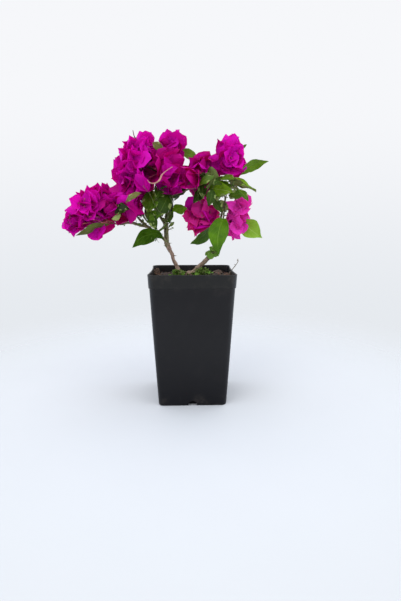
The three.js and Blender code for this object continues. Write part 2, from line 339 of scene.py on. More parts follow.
def vein_pattern(f, side_veins):
    """Three masks of a blade, which are 1 on its midrib, its side veins and the net between them,
    and how far along it a place is."""
    along, across = f.uv()
    off = (across - 0.5).absolute() * 2
    rib = 1 - off.ramp(0.0, 0.075)
    phase = (along - off * 0.30) * side_veins
    wave = phase.maths("PINGPONG", phase, 0.5) * 2
    sides = (1 - wave.ramp(0.0, 0.24)) * (1 - off.ramp(0.75, 1.0))
    blade_place = f.stretched((1.6, 1.0, 1.0), f.add("ShaderNodeTexCoord").out("UV"))
    net = 1 - f.cells(26.0, blade_place, "DISTANCE_TO_EDGE").ramp(0.0, 0.09)
    return rib, sides, net, along


def bract_finish(name, tint, shade, through):
    """Papery, with a fine net of veins a little deeper than the blade."""
    f = Finish(name)
    rib, sides, net, along = vein_pattern(f, 8.0)
    lines = (rib * 0.7 + sides * 0.55 + net * 0.25).clamped()
    cloud = f.noise(70.0, 3.0)
    # The veins and the cloud are the bract's own colour; the darkening at each bract's foot, in the
    # middle of its group, is painted shade.
    deep = (lines * 0.42 + cloud.ramp(0.45, 0.75) * 0.3 + (1 - along).ramp(0.7, 1.0) * 0.4).clamped()
    colour = f.mixed(deep, tint, shade)
    relief = f.noise(240.0, 3.0) * 0.5 - lines
    normal = f.bumped(relief, 0.35, 0.0008)
    return f.finished(colour, 0.6, normal, 0.46, through, Specular_IOR_Level=0.1)


def leaf_finish(name, tint, shade, rib_colour, roughness):
    """Smooth, with a pale midrib and pale side veins."""
    f = Finish(name)
    rib, sides, net, _ = vein_pattern(f, 7.0)
    cloud = f.noise(60.0, 3.0)
    colour = f.mixed(cloud.ramp(0.3, 0.75), tint, shade)
    colour = f.mixed((rib * 0.6 + sides * 0.2).clamped(), colour, rib_colour)
    relief = cloud * 0.3 - rib - sides * 0.7 - net * 0.2
    normal = f.bumped(relief, 0.45, 0.0010)
    return f.finished(colour, roughness, normal, 0.16, Specular_IOR_Level=0.15)


def plain_finish(name, dark, light, scale, roughness, glow=0.0):
    f = Finish(name)
    colour = f.mixed(f.noise(scale, 3.0).ramp(0.3, 0.7), dark, light)
    return f.finished(colour, roughness, None, glow, Specular_IOR_Level=0.3)


# -------- shapes

BLADE_GRID = (6, 4)  # how many faces a leaf or a bract is long and wide
LEAF_LENGTH, BRACT_LENGTH = 50, 38  # in millimetres, at size 1


class Shape:
    """Points and faces that are still being put together into a mesh."""

    def __init__(self, points, faces, uvs=None, under=None, rim=()):
        self.points = np.asarray(points, float)
        self.faces = faces
        self.uvs = uvs or [[(0.0, 0.0)] * len(face) for face in faces]
        self.under = under or [False] * len(faces)
        self.rim = list(rim)

    def moved(self, matrix):
        m = np.array(matrix)
        points = self.points @ m[:3, :3].T + m[:3, 3]
        return Shape(points, self.faces, self.uvs, self.under, self.rim)

    @staticmethod
    def joined(shapes):
        points, faces, uvs, under, rim = [], [], [], [], []
        for shape in shapes:
            start = len(points)
            points += shape.points.tolist()
            faces += [tuple(i + start for i in face) for face in shape.faces]
            uvs += shape.uvs
            under += shape.under
            rim += [(a + start, b + start) for a, b in shape.rim]
        return Shape(points, faces, uvs, under, rim)

    def mesh(self, name):
        mesh = bpy.data.meshes.new(name)
        mesh.from_pydata(self.points.tolist(), [], self.faces)
        layer = mesh.uv_layers.new(name="UVMap")
        layer.data.foreach_set("uv", np.array([uv for face in self.uvs for uv in face]).ravel())
        set_attribute(mesh, "under", "BOOLEAN", "FACE", self.under)
        rim = {tuple(sorted(pair)) for pair in self.rim}
        sharp = [tuple(sorted(edge.vertices)) in rim for edge in mesh.edges]
        set_attribute(mesh, "sharp_edge", "BOOLEAN", "EDGE", sharp)
        return mesh


def linked(name, mesh):
    piece = bpy.data.objects.new(name, mesh)
    SCENE.collection.objects.link(piece)
    return piece


def plain_mesh(piece):
    """Turns what a piece's modifiers make into its own mesh, and removes them."""
    graph = bpy.context.evaluated_depsgraph_get()
    mesh = bpy.data.meshes.new_from_object(piece.evaluated_get(graph))
    piece.modifiers.clear()
    piece.data = mesh
    return piece


def blade(rng, length, half_width, thickness, widest, base_blunt, tip_blunt, bend, fold, cup,
          ruffle, twist, rise=0.0, tip_curl=0.0, waves=2.5):
    """A thin closed leaf or bract, with its sizes in millimetres. It runs from the origin along X,
    with its upper face to +Z. bend and tip_curl turn it towards its upper face, fold lifts both
    halves off the midrib, and widest is where along it is widest."""
    rows, columns = BLADE_GRID
    length, half_width, thickness = length * MM, half_width * MM, thickness * MM
    even = np.linspace(0, 1, rows + 1)
    ts = 0.45 * even + 0.55 * (0.5 - 0.5 * np.cos(math.pi * even))  # closer near both ends
    angle = rise + bend * ts ** 1.3 + tip_curl * ts ** 4
    middle = np.zeros((rows + 1, 3))
    for k in range(1, rows + 1):
        a = (angle[k] + angle[k - 1]) / 2
        step = length * (ts[k] - ts[k - 1])
        middle[k] = middle[k - 1] + step * np.array([math.cos(a), 0, math.sin(a)])
    power = math.log(0.5) / math.log(widest)
    phase = rng.uniform(0, 2 * math.pi, 2)
    vs = np.linspace(-1, 1, columns + 1)
    grid = []
    for k in range(1, rows):
        t = ts[k]
        blunt = base_blunt if t < widest else tip_blunt
        width = half_width * math.sin(math.pi * t ** power) ** blunt
        normal = np.array([-math.sin(angle[k]), 0, math.cos(angle[k])])
        turn = twist * t
        side = np.array([0, math.cos(turn), 0]) + normal * math.sin(turn)
        row = []
        for v in vs:
            wave = math.sin(2 * math.pi * waves * t + phase[int(v > 0)]) * math.sin(math.pi * t)
            lift = fold * abs(v) + cup * v * v + ruffle * v * v * wave
            row.append(middle[k] + side * v * width * math.cos(fold) + normal * lift * half_width)
        grid.append(row)
    return shell(np.array(grid), middle[0], middle[-1], ts, thickness)


def shell(grid, base, tip, ts, thickness):
    """A closed thin skin over a grid of points, with one point at its base and one at its tip."""
    rows, columns = grid.shape[:2]
    along = np.gradient(grid, axis=0)
    across = np.gradient(grid, axis=1)
    normals = np.cross(along, across)
    normals /= np.linalg.norm(normals, axis=2, keepdims=True) + 1e-12
    lower = grid - normals * thickness
    upper_index = np.arange(rows * columns).reshape(rows, columns)
    lower_index = upper_index.copy()
    inner = (columns - 2) * rows
    lower_index[:, 1:-1] = rows * columns + np.arange(inner).reshape(rows, columns - 2)
    points = np.vstack([grid.reshape(-1, 3), lower[:, 1:-1].reshape(-1, 3), [base], [tip]])
    base_index = len(points) - 2
    tip_index = len(points) - 1
    us = np.linspace(0, 1, columns)
    faces, uvs, under = [], [], []
    for index, is_under in ((upper_index, False), (lower_index, True)):
        ring = []
        for c in range(columns - 1):
            ring.append(([base_index, index[0, c], index[0, c + 1]],
                         [(ts[0], (us[c] + us[c + 1]) / 2), (ts[1], us[c]), (ts[1], us[c + 1])]))
            ring.append(([tip_index, index[-1, c + 1], index[-1, c]],
                         [(ts[-1], (us[c] + us[c + 1]) / 2), (ts[-2], us[c + 1]), (ts[-2], us[c])]))
            for r in range(rows - 1):
                corners = [(r, c), (r + 1, c), (r + 1, c + 1), (r, c + 1)]
                ring.append(([index[corner] for corner in corners],
                             [(ts[i + 1], us[j]) for i, j in corners]))
        for face, uv in ring:
            turned = -1 if is_under else 1
            faces.append(tuple(int(i) for i in face[::turned]))
            uvs.append(uv[::turned])
            under.append(is_under)
    rim = []
    for c in (0, columns - 1):
        line = [base_index, *upper_index[:, c], tip_index]
        rim += [(int(a), int(b)) for a, b in zip(line, line[1:])]
    return Shape(points, faces, uvs, under, rim)


def bands(rings, sides):
    """The faces between rings of points, all with the same count."""
    faces = []
    for a in range(0, (rings - 1) * sides, sides):
        for k in range(sides):
            n = (k + 1) % sides
            faces.append((a + k, a + n, a + sides + n, a + sides + k))
    return faces


def bent_stalk(rng, root, foot, sway, girth):
    """The path of a thin stalk that is a little bent in the middle, for tubes()."""
    middle = (root + foot) / 2 + rng.normal(0, sway * MM, 3)
    return np.array([root, middle, foot]), [radius * MM for radius in girth]


def spindle(profile, sides, lobes=0.0):
    """A closed round shape about X, from (distance along, radius) pairs. lobes makes it a star."""
    points = [(profile[0][0], 0, 0)]
    for along, radius in profile[1:-1]:
        for k in range(sides):
            a = 2 * math.pi * k / sides
            r = radius * (1 - lobes * (k % 2))
            points.append((along, r * math.cos(a), r * math.sin(a)))
    points.append((profile[-1][0], 0, 0))
    last = len(points) - 1
    rings = len(profile) - 2
    faces = []
    for k in range(sides):
        n = (k + 1) % sides
        faces.append((0, 1 + n, 1 + k))
        faces.append((last, last - sides + k, last - sides + n))
        for r in range(rings - 1):
            a, b = 1 + r * sides, 1 + (r + 1) * sides
            faces.append((a + k, a + n, b + n, b + k))
    return Shape(points, faces)


def on_stalk(spin, offset, lean):
    """The place of one of the parts round a foot: leaned over, moved off and spun round."""
    return (Matrix.Rotation(spin, 4, "Z") @ Matrix.Translation(Vector(offset) * MM)
            @ Matrix.Rotation(lean, 4, "Y"))


def bract_group(rng, spread):
    """Three bracts round a common foot. They open out from +Z by spread, then curve back up."""
    blades = []
    for k in range(3):
        back = spread * rng.uniform(0.35, 0.75)
        one = blade(rng, **drawn(
            rng, length=(34, 41), half_width=(14.0, 16.5), widest=(0.42, 0.52), base_blunt=0.62,
            tip_blunt=(0.62, 1.05), bend=back, tip_curl=(-0.9, 0.3), fold=(0.0, 0.22),
            cup=(-0.1, 0.35), ruffle=(0.06, 0.22), waves=(1.6, 2.8), twist=(-0.4, 0.4),
            thickness=0.3))
        lean = spread * rng.uniform(0.85, 1.15) - math.pi / 2
        spin = k * 2 * math.pi / 3 + rng.uniform(-0.25, 0.25)
        blades.append(one.moved(on_stalk(spin, (1.2, 0, 0), lean)))
    return blades


def probes(shape, count=24):
    """A few far points of a shape, by which its copies are fitted into a mass."""
    away = shape.points / (8 * MM)
    picked = [int(lengths(away).argmax())]
    gap = lengths(away - away[picked[0]])
    for _ in range(count - 1):
        picked.append(int((gap * (0.3 + lengths(away))).argmax()))
        gap = np.minimum(gap, lengths(away - away[picked[-1]]))
    return shape.points[picked]


def showy_bract(rng, is_round):
    """A bract that is seen by itself, either round or drawn out to a point."""
    half_width, widest, tip_blunt = (15.5, 0.56, 0.55) if is_round else (12.5, 0.4, 1.15)
    return blade(rng, **drawn(
        rng, length=BRACT_LENGTH, half_width=half_width, widest=widest, base_blunt=0.7,
        tip_blunt=tip_blunt, bend=(-0.2, 0.35), tip_curl=(-0.5, 0.2), fold=(0.1, 0.3),
        cup=(-0.1, 0.3), ruffle=(0.12, 0.24), waves=(1.5, 2.8), twist=(-0.3, 0.3), thickness=0.3))


def flower_group(rng, spread):
    """Three slender flower tubes, one on each bract, and the small pale stars that they open to."""
    tubes, stars = [], []
    for k in range(3):
        length = rng.uniform(13, 17) * MM
        tube = spindle([(0, 0), (0.5 * MM, 0.5 * MM), (3 * MM, 1.5 * MM), (7 * MM, 1.0 * MM),
                        (length - 1 * MM, 1.5 * MM), (length, 0)], 5)
        star = spindle([(length - 1.2 * MM, 0), (length - 0.6 * MM, 2.0 * MM),
                        (length + 0.2 * MM, 4.2 * MM), (length - 0.1 * MM, 0)], 10, 0.45)
        lean = spread * 0.55 - math.pi / 2
        spin = k * 2 * math.pi / 3 + rng.uniform(-0.2, 0.2)
        place = on_stalk(spin, (2.0, 0, 1.0), lean)
        tubes.append(tube.moved(place))
        stars.append(star.moved(place))
    return tubes, stars


def leaf_shape(rng):
    """A pointed oval leaf, about 50 mm long, folded a little along its midrib and arched over."""
    return blade(rng, **drawn(
        rng, length=LEAF_LENGTH, half_width=(13.5, 16.5), widest=(0.38, 0.46), base_blunt=0.85,
        tip_blunt=(1.0, 1.3), rise=(0.0, 0.3), bend=(-0.8, -0.2), tip_curl=(-0.6, 0.2),
        fold=(0.08, 0.35), cup=(-0.15, 0.1), ruffle=(0.03, 0.12), waves=(1.5, 2.5),
        twist=(-0.4, 0.4), thickness=0.4))


def young_leaf_shape(rng):
    """A rounded, cupped young leaf, on the same scale as a full-grown one."""
    return blade(rng, **drawn(
        rng, length=LEAF_LENGTH, half_width=(19, 23), widest=(0.45, 0.55), base_blunt=0.7,
        tip_blunt=(0.75, 1.0), rise=(0.0, 0.4), bend=(-0.6, 0.4), fold=(0.1, 0.3), cup=(0.0, 0.3),
        ruffle=(0.05, 0.15), twist=(-0.3, 0.3), thickness=1.0))


def thorn_shape(rng, girth=1.0):
    """A spine that curves forward a little."""
    profile = [(-0.6 * MM, 0), (-0.3 * MM, 0.95 * girth * MM), (0.8 * MM, 0.6 * girth * MM),
               (3.5 * MM, 0.32 * girth * MM), (7 * MM, 0)]
    shape = spindle(profile, 6)
    shape.points[:, 2] += 16 * shape.points[:, 0] ** 2 * rng.uniform(0.3, 1.0)
    return shape


def chip_shape(rng):
    """A flat splinter of composted bark, with broken edges."""
    points = rng.uniform(-1, 1, (16, 3)) * np.array([3.6, 2.0, 0.8]) * MM
    points[:, :2] *= rng.uniform(0.5, 1.0, (16, 1))
    mesh = bpy.data.meshes.new("chip")
    solid = bmesh.new()
    for p in points:
        solid.verts.new(p)
    bmesh.ops.convex_hull(solid, input=solid.verts)
    bmesh.ops.delete(solid, geom=[v for v in solid.verts if not v.link_faces], context="VERTS")
    solid.to_mesh(mesh)
    solid.free()
    shape = Shape([v.co[:] for v in mesh.vertices], [tuple(p.vertices) for p in mesh.polygons])
    bpy.data.meshes.remove(mesh)
    return shape


# -------- geometry nodes

def geometry_group(name, inputs):
    """An empty tree with named inputs, the Tree by which it is filled, and its input node."""
    group = bpy.data.node_groups.new(name, "GeometryNodeTree")
    for label, kind in inputs.items():
        group.interface.new_socket(label, in_out="INPUT", socket_type="NodeSocket" + kind)
    group.interface.new_socket("Geometry", in_out="OUTPUT", socket_type="NodeSocketGeometry")
    tree = Tree(group)
    return group, tree, tree.add("NodeGroupInput")


def named(tree, name, data_type="FLOAT"):
    settings = {"data_type": data_type}
    return tree.add("GeometryNodeInputNamedAttribute", settings, {"Name": name}).out("Attribute")


def scatter_group():
    """Copies of the shapes in a collection on the points of a mesh. Each point says which shape it
    takes, how that is turned and how large it is."""
    sockets = {"Geometry": "Geometry", "Shapes": "Collection", "Finish": "Material",
               "Finish underneath": "Material"}
    group, tree, given = geometry_group("scatter on points", sockets)
    shapes = tree.add("GeometryNodeCollectionInfo", None, {
        "Collection": given.out("Shapes"), "Separate Children": True, "Reset Children": True})
    turn = tree.add("FunctionNodeEulerToRotation", None, {0: named(tree, "turn", "FLOAT_VECTOR")})
    copies = tree.add("GeometryNodeInstanceOnPoints", None, {
        "Points": given.out("Geometry"), "Instance": shapes.out(), "Pick Instance": True,
        "Instance Index": named(tree, "kind", "INT"), "Rotation": turn.out(),
        "Scale": named(tree, "size")})
    real = tree.step("RealizeInstances", copies.out())
    top = tree.step("SetMaterial", real, Material=given.out("Finish"))
    both = tree.step("SetMaterial", top, Selection=named(tree, "under", "BOOLEAN"),
                     Material=given.out("Finish underneath"))
    tree.add("NodeGroupOutput", None, {"Geometry": tree.step("SetShadeSmooth", both)})
    return group


def twig_group():
    """Round twigs along the edges of a mesh, as thick as each of its points says."""
    sockets = {"Geometry": "Geometry", "Sides": "Int", "Finish": "Material"}
    group, tree, given = geometry_group("twigs along edges", sockets)
    lines = tree.add("GeometryNodeMeshToCurve", None, {"Mesh": given.out("Geometry")})
    ring = tree.add("GeometryNodeCurvePrimitiveCircle", None, {
        "Resolution": given.out("Sides"), "Radius": 1.0})
    skin = tree.add("GeometryNodeCurveToMesh", None, {
        "Curve": lines.out(), "Profile Curve": ring.out(), "Scale": named(tree, "thickness"),
        "Fill Caps": True})
    real = tree.step("RealizeInstances", skin.out())
    painted = tree.step("SetMaterial", real, Material=given.out("Finish"))
    tree.add("NodeGroupOutput", None, {"Geometry": tree.step("SetShadeSmooth", painted)})
    return group


def run_group(piece, group, **values):
    """Gives a piece the result of a tree, with the tree's inputs set by their identifiers."""
    modifier = piece.modifiers.new("build", "NODES")
    modifier.node_group = group
    for item in group.interface.items_tree:
        label = item.name.replace(" ", "_")
        if item.in_out == "INPUT" and label in values:
            modifier[item.identifier] = values[label]
    return plain_mesh(piece)


class Spots:
    """Where copies of a shape go: each has a place, a turn, a size and a kind."""

    def __init__(self):
        self.rows = []

    def add(self, place, turn, size, kind):
        self.rows.append((place, turn, size, kind))

    def mesh(self, name):
        mesh = bpy.data.meshes.new(name)
        mesh.from_pydata([tuple(row[0]) for row in self.rows], [], [])
        turns = [Matrix(row[1].tolist()).to_euler()[:] for row in self.rows]
        set_attribute(mesh, "turn", "FLOAT_VECTOR", "POINT", turns)
        set_attribute(mesh, "size", "FLOAT", "POINT", [row[2] for row in self.rows])
        set_attribute(mesh, "kind", "INT", "POINT", [row[3] for row in self.rows])
        return mesh


def scattered(name, spots, shapes, finish, underneath=None):
    """A piece of real copies of the shapes at the spots."""
    store = bpy.data.collections.new(name + "_shapes")
    for k, shape in enumerate(shapes):
        store.objects.link(bpy.data.objects.new("%s_shape_%02d" % (name, k), shape.mesh(name)))
    piece = linked(name, spots.mesh(name))
    run_group(piece, SCATTER, Shapes=store, Finish=finish, Finish_underneath=underneath or finish)
    for shape in list(store.objects):
        bpy.data.objects.remove(shape)
    bpy.data.collections.remove(store)
    return piece


def thrice(spots):
    """The three bracts, or the three flower tubes, of each group."""
    result = Spots()
    for place, turn, size, kind in spots.rows:
        for k in range(3):
            result.add(place, turn, size, 3 * kind + k)
    return result


def tubes(name, paths, finish):
    """A piece of round twigs. A path is its points and its radius at each."""
    points, edges, radii = [], [], []
    for line, thickness in paths:
        start = len(points)
        points += [tuple(p) for p in line]
        radii += list(thickness)
        edges += [(start + k, start + k + 1) for k in range(len(line) - 1)]
    mesh = bpy.data.meshes.new(name)
    mesh.from_pydata(points, edges, [])
    set_attribute(mesh, "thickness", "FLOAT", "POINT", radii)
    return run_group(linked(name, mesh), TWIGS, Sides=6, Finish=finish)


# -------- reading the solids

def surface_points(node, count):
    """Points spread evenly over a node's surface, and the outward direction at each."""
    mesh = NODES[node].data
    mesh.calc_loop_triangles()
    places = np.array([v.co[:] for v in mesh.vertices])
    corners = places[np.array([t.vertices[:] for t in mesh.loop_triangles])]
    a, b, c = corners[:, 0], corners[:, 1], corners[:, 2]
    cross = np.cross(b - a, c - a)
    area = lengths(cross)
    rng = seeded(node)
    pick = rng.choice(len(area), count, p=area / area.sum())
    r1 = np.sqrt(rng.random(count))[:, None]
    r2 = rng.random(count)[:, None]
    points = a[pick] * (1 - r1) + b[pick] * r1 * (1 - r2) + c[pick] * r1 * r2
    return points, cross[pick] / area[pick][:, None]


def smooth_line(points, spacing):
    """An even Catmull-Rom curve through some points."""
    points = np.asarray(points, float)
    ends = [2 * points[0] - points[1], *points, 2 * points[-1] - points[-2]]
    line = []
    for p0, p1, p2, p3 in zip(ends, ends[1:], ends[2:], ends[3:]):
        steps = max(2, int(np.linalg.norm(p2 - p1) / spacing))
        for t in np.arange(steps) / steps:
            line.append(0.5 * (2 * p1 + (p2 - p0) * t + (2 * p0 - 5 * p1 + 4 * p2 - p3) * t ** 2
                               + (3 * p1 - p0 - 3 * p2 + p3) * t ** 3))
    return np.array([*line, points[-1]])


def longest_way(offsets):
    """The direction in which some points are spread out most."""
    return np.linalg.svd(offsets, full_matrices=False)[2][0]


def slices(points, axis, count):
    """The points in slices of equal thickness along an axis."""
    along = points @ axis
    edges = np.linspace(along.min(), along.max(), count + 1)
    return [points[(along >= low) & (along <= high)] for low, high in zip(edges, edges[1:])]


def limb_line(node, stations=7):
    """Points along the middle of a limb from its lower end to its upper, and its radius at each."""
    points, _ = surface_points(node, 3000)
    axis = longest_way(points - points.mean(0))
    axis = axis * np.sign(axis[2])
    centres, radii = [], []
    for inside in slices(points, axis, stations):
        centre = inside.mean(0)
        offset = inside - centre
        offset -= np.outer(offset @ axis, axis)
        centres.append(centre)
        radii.append(np.median(lengths(offset)))
    first = centres[0] + (centres[0] - centres[1]) / 2
    last = centres[-1] + (centres[-1] - centres[-2]) / 2
    return np.array([first, *centres, last]), np.array([radii[0], *radii, radii[-1]])


def solid_tree(node):
    mesh = NODES[node].data
    return BVHTree.FromPolygons([v.co for v in mesh.vertices],
                                [p.vertices[:] for p in mesh.polygons])


def height_over(tree, p):
    """How far a place lies outside a solid, or less than 0 inside it, and the nearest point of its
    skin with the outward direction there."""
    hit, normal, _, distance = tree.find_nearest(p)
    return (distance if (p - hit).dot(normal) > 0 else -distance), hit, normal


def basis(forward, upward):
    """The turn that takes X along forward and Z as near as it can to upward."""
    x = unit(forward)
    y = unit(np.cross(upward, x))
    return np.column_stack([x, y, np.cross(x, y)])


def facing(axis, spin):
    """The turn that takes Z along axis, spun about it."""
    side = unit(np.cross(axis, [0.31, 0.87, 0.38]))
    other = np.cross(axis, side)
    x = side * math.cos(spin) + other * math.sin(spin)
    return np.column_stack([x, np.cross(axis, x), axis])


def spread_out(points, gap):
    """The first of the points that keep a gap between them, by their index."""
    kept = []
    for k, p in enumerate(points):
        if not kept or lengths(points[kept] - p).min() >= gap:
            kept.append(k)
    return kept


# -------- limbs

LIMB_STEP = 1.2  # millimetres between two points of a limb's middle line
KNOT_GAP, KNOT_SWELL = 15, 0.16  # millimetres between a limb's swellings, and their share of its girth
THIN_TWIG, THICK_TWIG = 0.42 * MM, 1.5 * MM  # radius under one group of bracts, and at most
TWIG_STEP = 6 * MM  # the longest stretch between two points of a twig
# How much thicker the foot of a stem is.
ROOT_FLARE = {"stem_left": 0.4, "stem_right": 1.5}
# How thick some limbs are beside their solids, at the lower end and at the upper.
GIRTH = {"bough_centre": (0.82, 0.7), "bough_left": (1.0, 0.9), "bough_left_outer": (1.15, 0.8),
         "bough_right": (0.84, 0.16)}
# How green the bark is at a limb's lower end, and how much greener at its upper. 0 is old brown
# wood and 1 a green shoot.
YOUTH = {"stem_left": (0.0, 0.15), "stem_right": (0.1, 0.25), "bough_left": (0.42, 0.1),
         "bough_left_outer": (0.42, 0.1)}


def crooked(line, rng, amount):
    """A line that wanders a little, but keeps its ends."""
    offsets = rng.normal(0, amount, line.shape)
    fade = np.sin(np.linspace(0, math.pi, len(line)))[:, None]
    return line + offsets * fade


class Limb:
    """The middle line and thickness of a limb, read off its solid and run on at its tip."""

    def __init__(self, node):
        rng = seeded("limb " + node)
        coarse, radii = limb_line(node)
        self.node = node
        ahead = unit(coarse[-1] - coarse[-3])
        back = unit(coarse[0] - coarse[2])
        if not node.startswith("stem_"):
            reach = 26 * MM
            coarse = np.vstack([coarse[0] + back * 3 * MM, coarse,
                                coarse[-1] + ahead * reach / 2 + UP * 2 * MM,
                                coarse[-1] + ahead * reach + UP * 6 * MM])
            radii = np.array([radii[0], *radii, radii[-1] * 0.75, radii[-1] * 0.5])
        else:
            coarse[0] += back * 5 * MM
        coarse = crooked(coarse, rng, (1.1 if node.startswith("bough_left") else 0.55) * MM)
        self.line = smooth_line(coarse, LIMB_STEP * MM)
        where = np.linspace(0, 1, len(self.line))
        girth = np.linspace(*GIRTH.get(node, (1.1, 1.1)), len(self.line))
        self.radius = np.interp(where, np.linspace(0, 1, len(radii)), radii) * girth
        flare = ROOT_FLARE.get(node, 0.0)
        self.radius *= 1 + flare * np.exp(-np.arange(len(self.line)) * LIMB_STEP / 8.5)
        low, rise = YOUTH.get(node, (0.65, 0.3))
        self.youth = low + rise * where


def limb_skin(limb, sides=14):
    """A closed tube along a limb, with small swellings where it has borne leaves."""
    rng = seeded("skin " + limb.node)
    line, count = limb.line, len(limb.line)
    knots = rng.uniform(0, 2 * math.pi)
    points = []
    side = unit(np.cross(line[1] - line[0], [0.2, 0.9, 0.1]))
    for k in range(count):
        ahead = unit(line[min(k + 1, count - 1)] - line[max(k - 1, 0)])
        side = unit(side - ahead * (side @ ahead))
        other = np.cross(ahead, side)
        knot = max(0.0, math.sin(knots + k * LIMB_STEP * 2 * math.pi / KNOT_GAP)) ** 8
        for s in range(sides):
            a = 2 * math.pi * s / sides
            r = limb.radius[k] * (1 + KNOT_SWELL * knot)
            points.append(line[k] + (side * math.cos(a) + other * math.sin(a)) * r)
    faces = bands(count, sides)
    faces.append(tuple(range(sides))[::-1])
    faces.append(tuple(range((count - 1) * sides, count * sides)))
    return Shape(points, faces)


def make_wood(limbs):
    """One fused piece of wood, with furrowed bark."""
    wood = linked("stems_and_boughs", Shape.joined([limb_skin(b) for b in limbs]).mesh("wood"))
    fuse = wood.modifiers.new("fuse", "REMESH")
    fuse.mode = "VOXEL"
    fuse.voxel_size = 0.55 * MM
    ease = wood.modifiers.new("ease", "SMOOTH")
    ease.iterations = 3
    plain_mesh(wood)
    mesh = wood.data
    count = len(mesh.vertices)
    places, normals = np.zeros((2, count, 3))
    mesh.vertices.foreach_get("co", places.ravel())
    mesh.vertices.foreach_get("normal", normals.ravel())
    line = np.vstack([b.line for b in limbs])
    run = np.hstack([np.arange(len(b.line)) * LIMB_STEP * MM for b in limbs])
    ahead = np.vstack([np.gradient(b.line, axis=0) for b in limbs])
    ahead /= lengths(ahead)[:, None]
    young = np.hstack([b.youth for b in limbs])
    grain = np.zeros((count, 3))
    tender = np.zeros(count)
    for start in range(0, count, 2000):
        block = slice(start, start + 2000)
        near = lengths(places[block, None] - line[None]).argmin(1)
        out = places[block] - line[near]
        slip = dots(out, ahead[near])
        across = out - ahead[near] * slip[:, None]
        side = np.cross(ahead[near], [0.2, 0.9, 0.1])
        side /= lengths(side)[:, None]
        other = np.cross(ahead[near], side)
        grain[block, 0] = dots(across, side)
        grain[block, 1] = dots(across, other)
        grain[block, 2] = run[near] + slip
        tender[block] = young[near]
    depth = np.array([bark_relief(g) for g in grain]) * (1.0 - 0.55 * tender)
    places += normals * depth[:, None]
    mesh.vertices.foreach_set("co", places.ravel())
    set_attribute(mesh, "grain", "FLOAT_VECTOR", "POINT", grain)
    set_attribute(mesh, "youth", "FLOAT", "POINT", tender)
    mesh.materials.clear()
    mesh.materials.append(bark_finish())
    mesh.shade_smooth()
    return wood


def bark_relief(grain):
    """How far the bark stands out at a place given across and along the limb."""
    x, y, z = grain
    furrow = noise.noise((x * 1100, y * 1100, z * 170))
    fine = noise.noise(Vector((x * 2600, y * 2600, z * 900)) + Vector((3, 7, 1)))
    lump = noise.noise((x * 260, y * 260, z * 210))
    return (0.26 * furrow + 0.12 * fine + 0.42 * lump) * MM


# -------- sprays

BRACT_KINDS = 12
LEAF_KINDS = 6
LEAF_SHARE = 0.02  # the share of a bract mass's places that a leaf takes
GROUP_GAP, NARROW_GAP = 20 * MM, 16.5 * MM  # between groups, on a thick mass and on a narrow one
NARROW_HALF = 22 * MM  # a mass with a half size below this is narrow
BARE_GAP = 8.5 * MM  # a place this far from every bract is bare
# How far a group or a leaf may stand out of its mass, as the mean square in millimetres.
GROUP_EXCESS, LEAF_EXCESS = 6, 7
TINTS = ("deep", "full", "bright", "rosy", "dusky")
# The rosy tint of the lower right bracts is partly their own pinker colour and partly painted light:
# it is brighter, for the light that falls on them from the right and the front.
SPRAY_TINT = {
    "bracts_low_middle": "dusky", "bracts_low_right": "rosy", "bracts_crown_middle": "deep",
    "bracts_back_left": "full", "bracts_back_middle": "full", "bracts_back_right": "bright",
    "bracts_crown_left": "bright", "bracts_top_left": "bright", "bracts_top": "full",
    "bracts_top_right": "bright", "bracts_right_middle": "deep", "bracts_far_left": "bright",
    "bracts_tip_left": "bright", "bracts_low_left": "bright", "bracts_inner_left": "deep",
    "bracts_front_middle": "full", "bracts_front_right": "deep",
}
# Which way the groups of some masses lean, beside facing outwards.
SPRAY_LEAN = {
    "bracts_top_right": (0, 0, 1.1), "bracts_top": (0, 0, 0.7), "bracts_top_left": (0, 0, 0.7),
    "bracts_low_left": (0.1, -0.6, -1.8), "bracts_low_right": (0.2, 0, -0.3),
    "bracts_tip_left": (-0.7, 0, 0), "bracts_low_middle": (0, 0, -0.2),
}
LONE_BRACTS = "bracts_low_left"  # a mass of two or three single bracts
LEAF_TINTS = ("dark", "mid", "light", "olive", "shade")
# Gaps in the crown, which its bracts keep clear of: by a mass, where each starts in front and where
# it ends, and how far off they stay in millimetres.
HOLLOWS = (
    ("bracts_crown_middle", (-0.61, -1.71, -0.10), (-0.77, 0.12, 0.07), 6.5),
    ("bracts_crown_middle", (-0.70, -1.71, -0.25), (-0.87, 0.12, -0.09), 6.5),
    ("bracts_top", (-1.07, -2.85, -0.05), (-1.36, 1.65, 0.64), 4.5),
    ("bracts_right_middle", (-0.94, -2.26, 0.11), (-0.95, 1.29, 0.57), 3.5),
    ("bracts_top", (1.02, -3.65, -1.04), (1.03, -0.08, -0.61), 5.5),
    ("bracts_back_middle", (0.82, -4.27, -0.18), (0.82, -1.60, 0.08), 5.0),
    ("bracts_back_middle", (0.82, -1.50, 0.09), (0.82, 1.16, 0.35), 5.0),
    ("bracts_low_right", (0.58, -2.23, 0.24), (1.19, 1.7, 0.25), 4.0),
    ("bracts_low_right", (0.43, -2.23, -0.43), (0.75, -0.1, -0.47), 4.0),
    ("bracts_top_right", (-1.29, -1.53, 0.06), (-1.09, 1.49, 0.36), 3.5),
    ("bracts_crown_left", (-0.61, -1.02, 0.39), (-0.97, 1.04, 0.64), 5.0),
    ("bracts_crown_left", (-0.73, -1.03, 0.08), (-1.11, 1.03, 0.28), 4.0),
    ("bracts_tip_left", (-0.59, -1.95, 0.13), (-2.0, 2.02, 0.04), 5.0),
)


def hollow_places(count=12):
    """Places down the middle of every gap, and how far off the bracts stay from each."""
    lines = [np.linspace(on_mass(node, start), on_mass(node, end), count)
             for node, start, end, _ in HOLLOWS]
    return np.vstack(lines), np.repeat([clear * MM for _, _, _, clear in HOLLOWS], count)


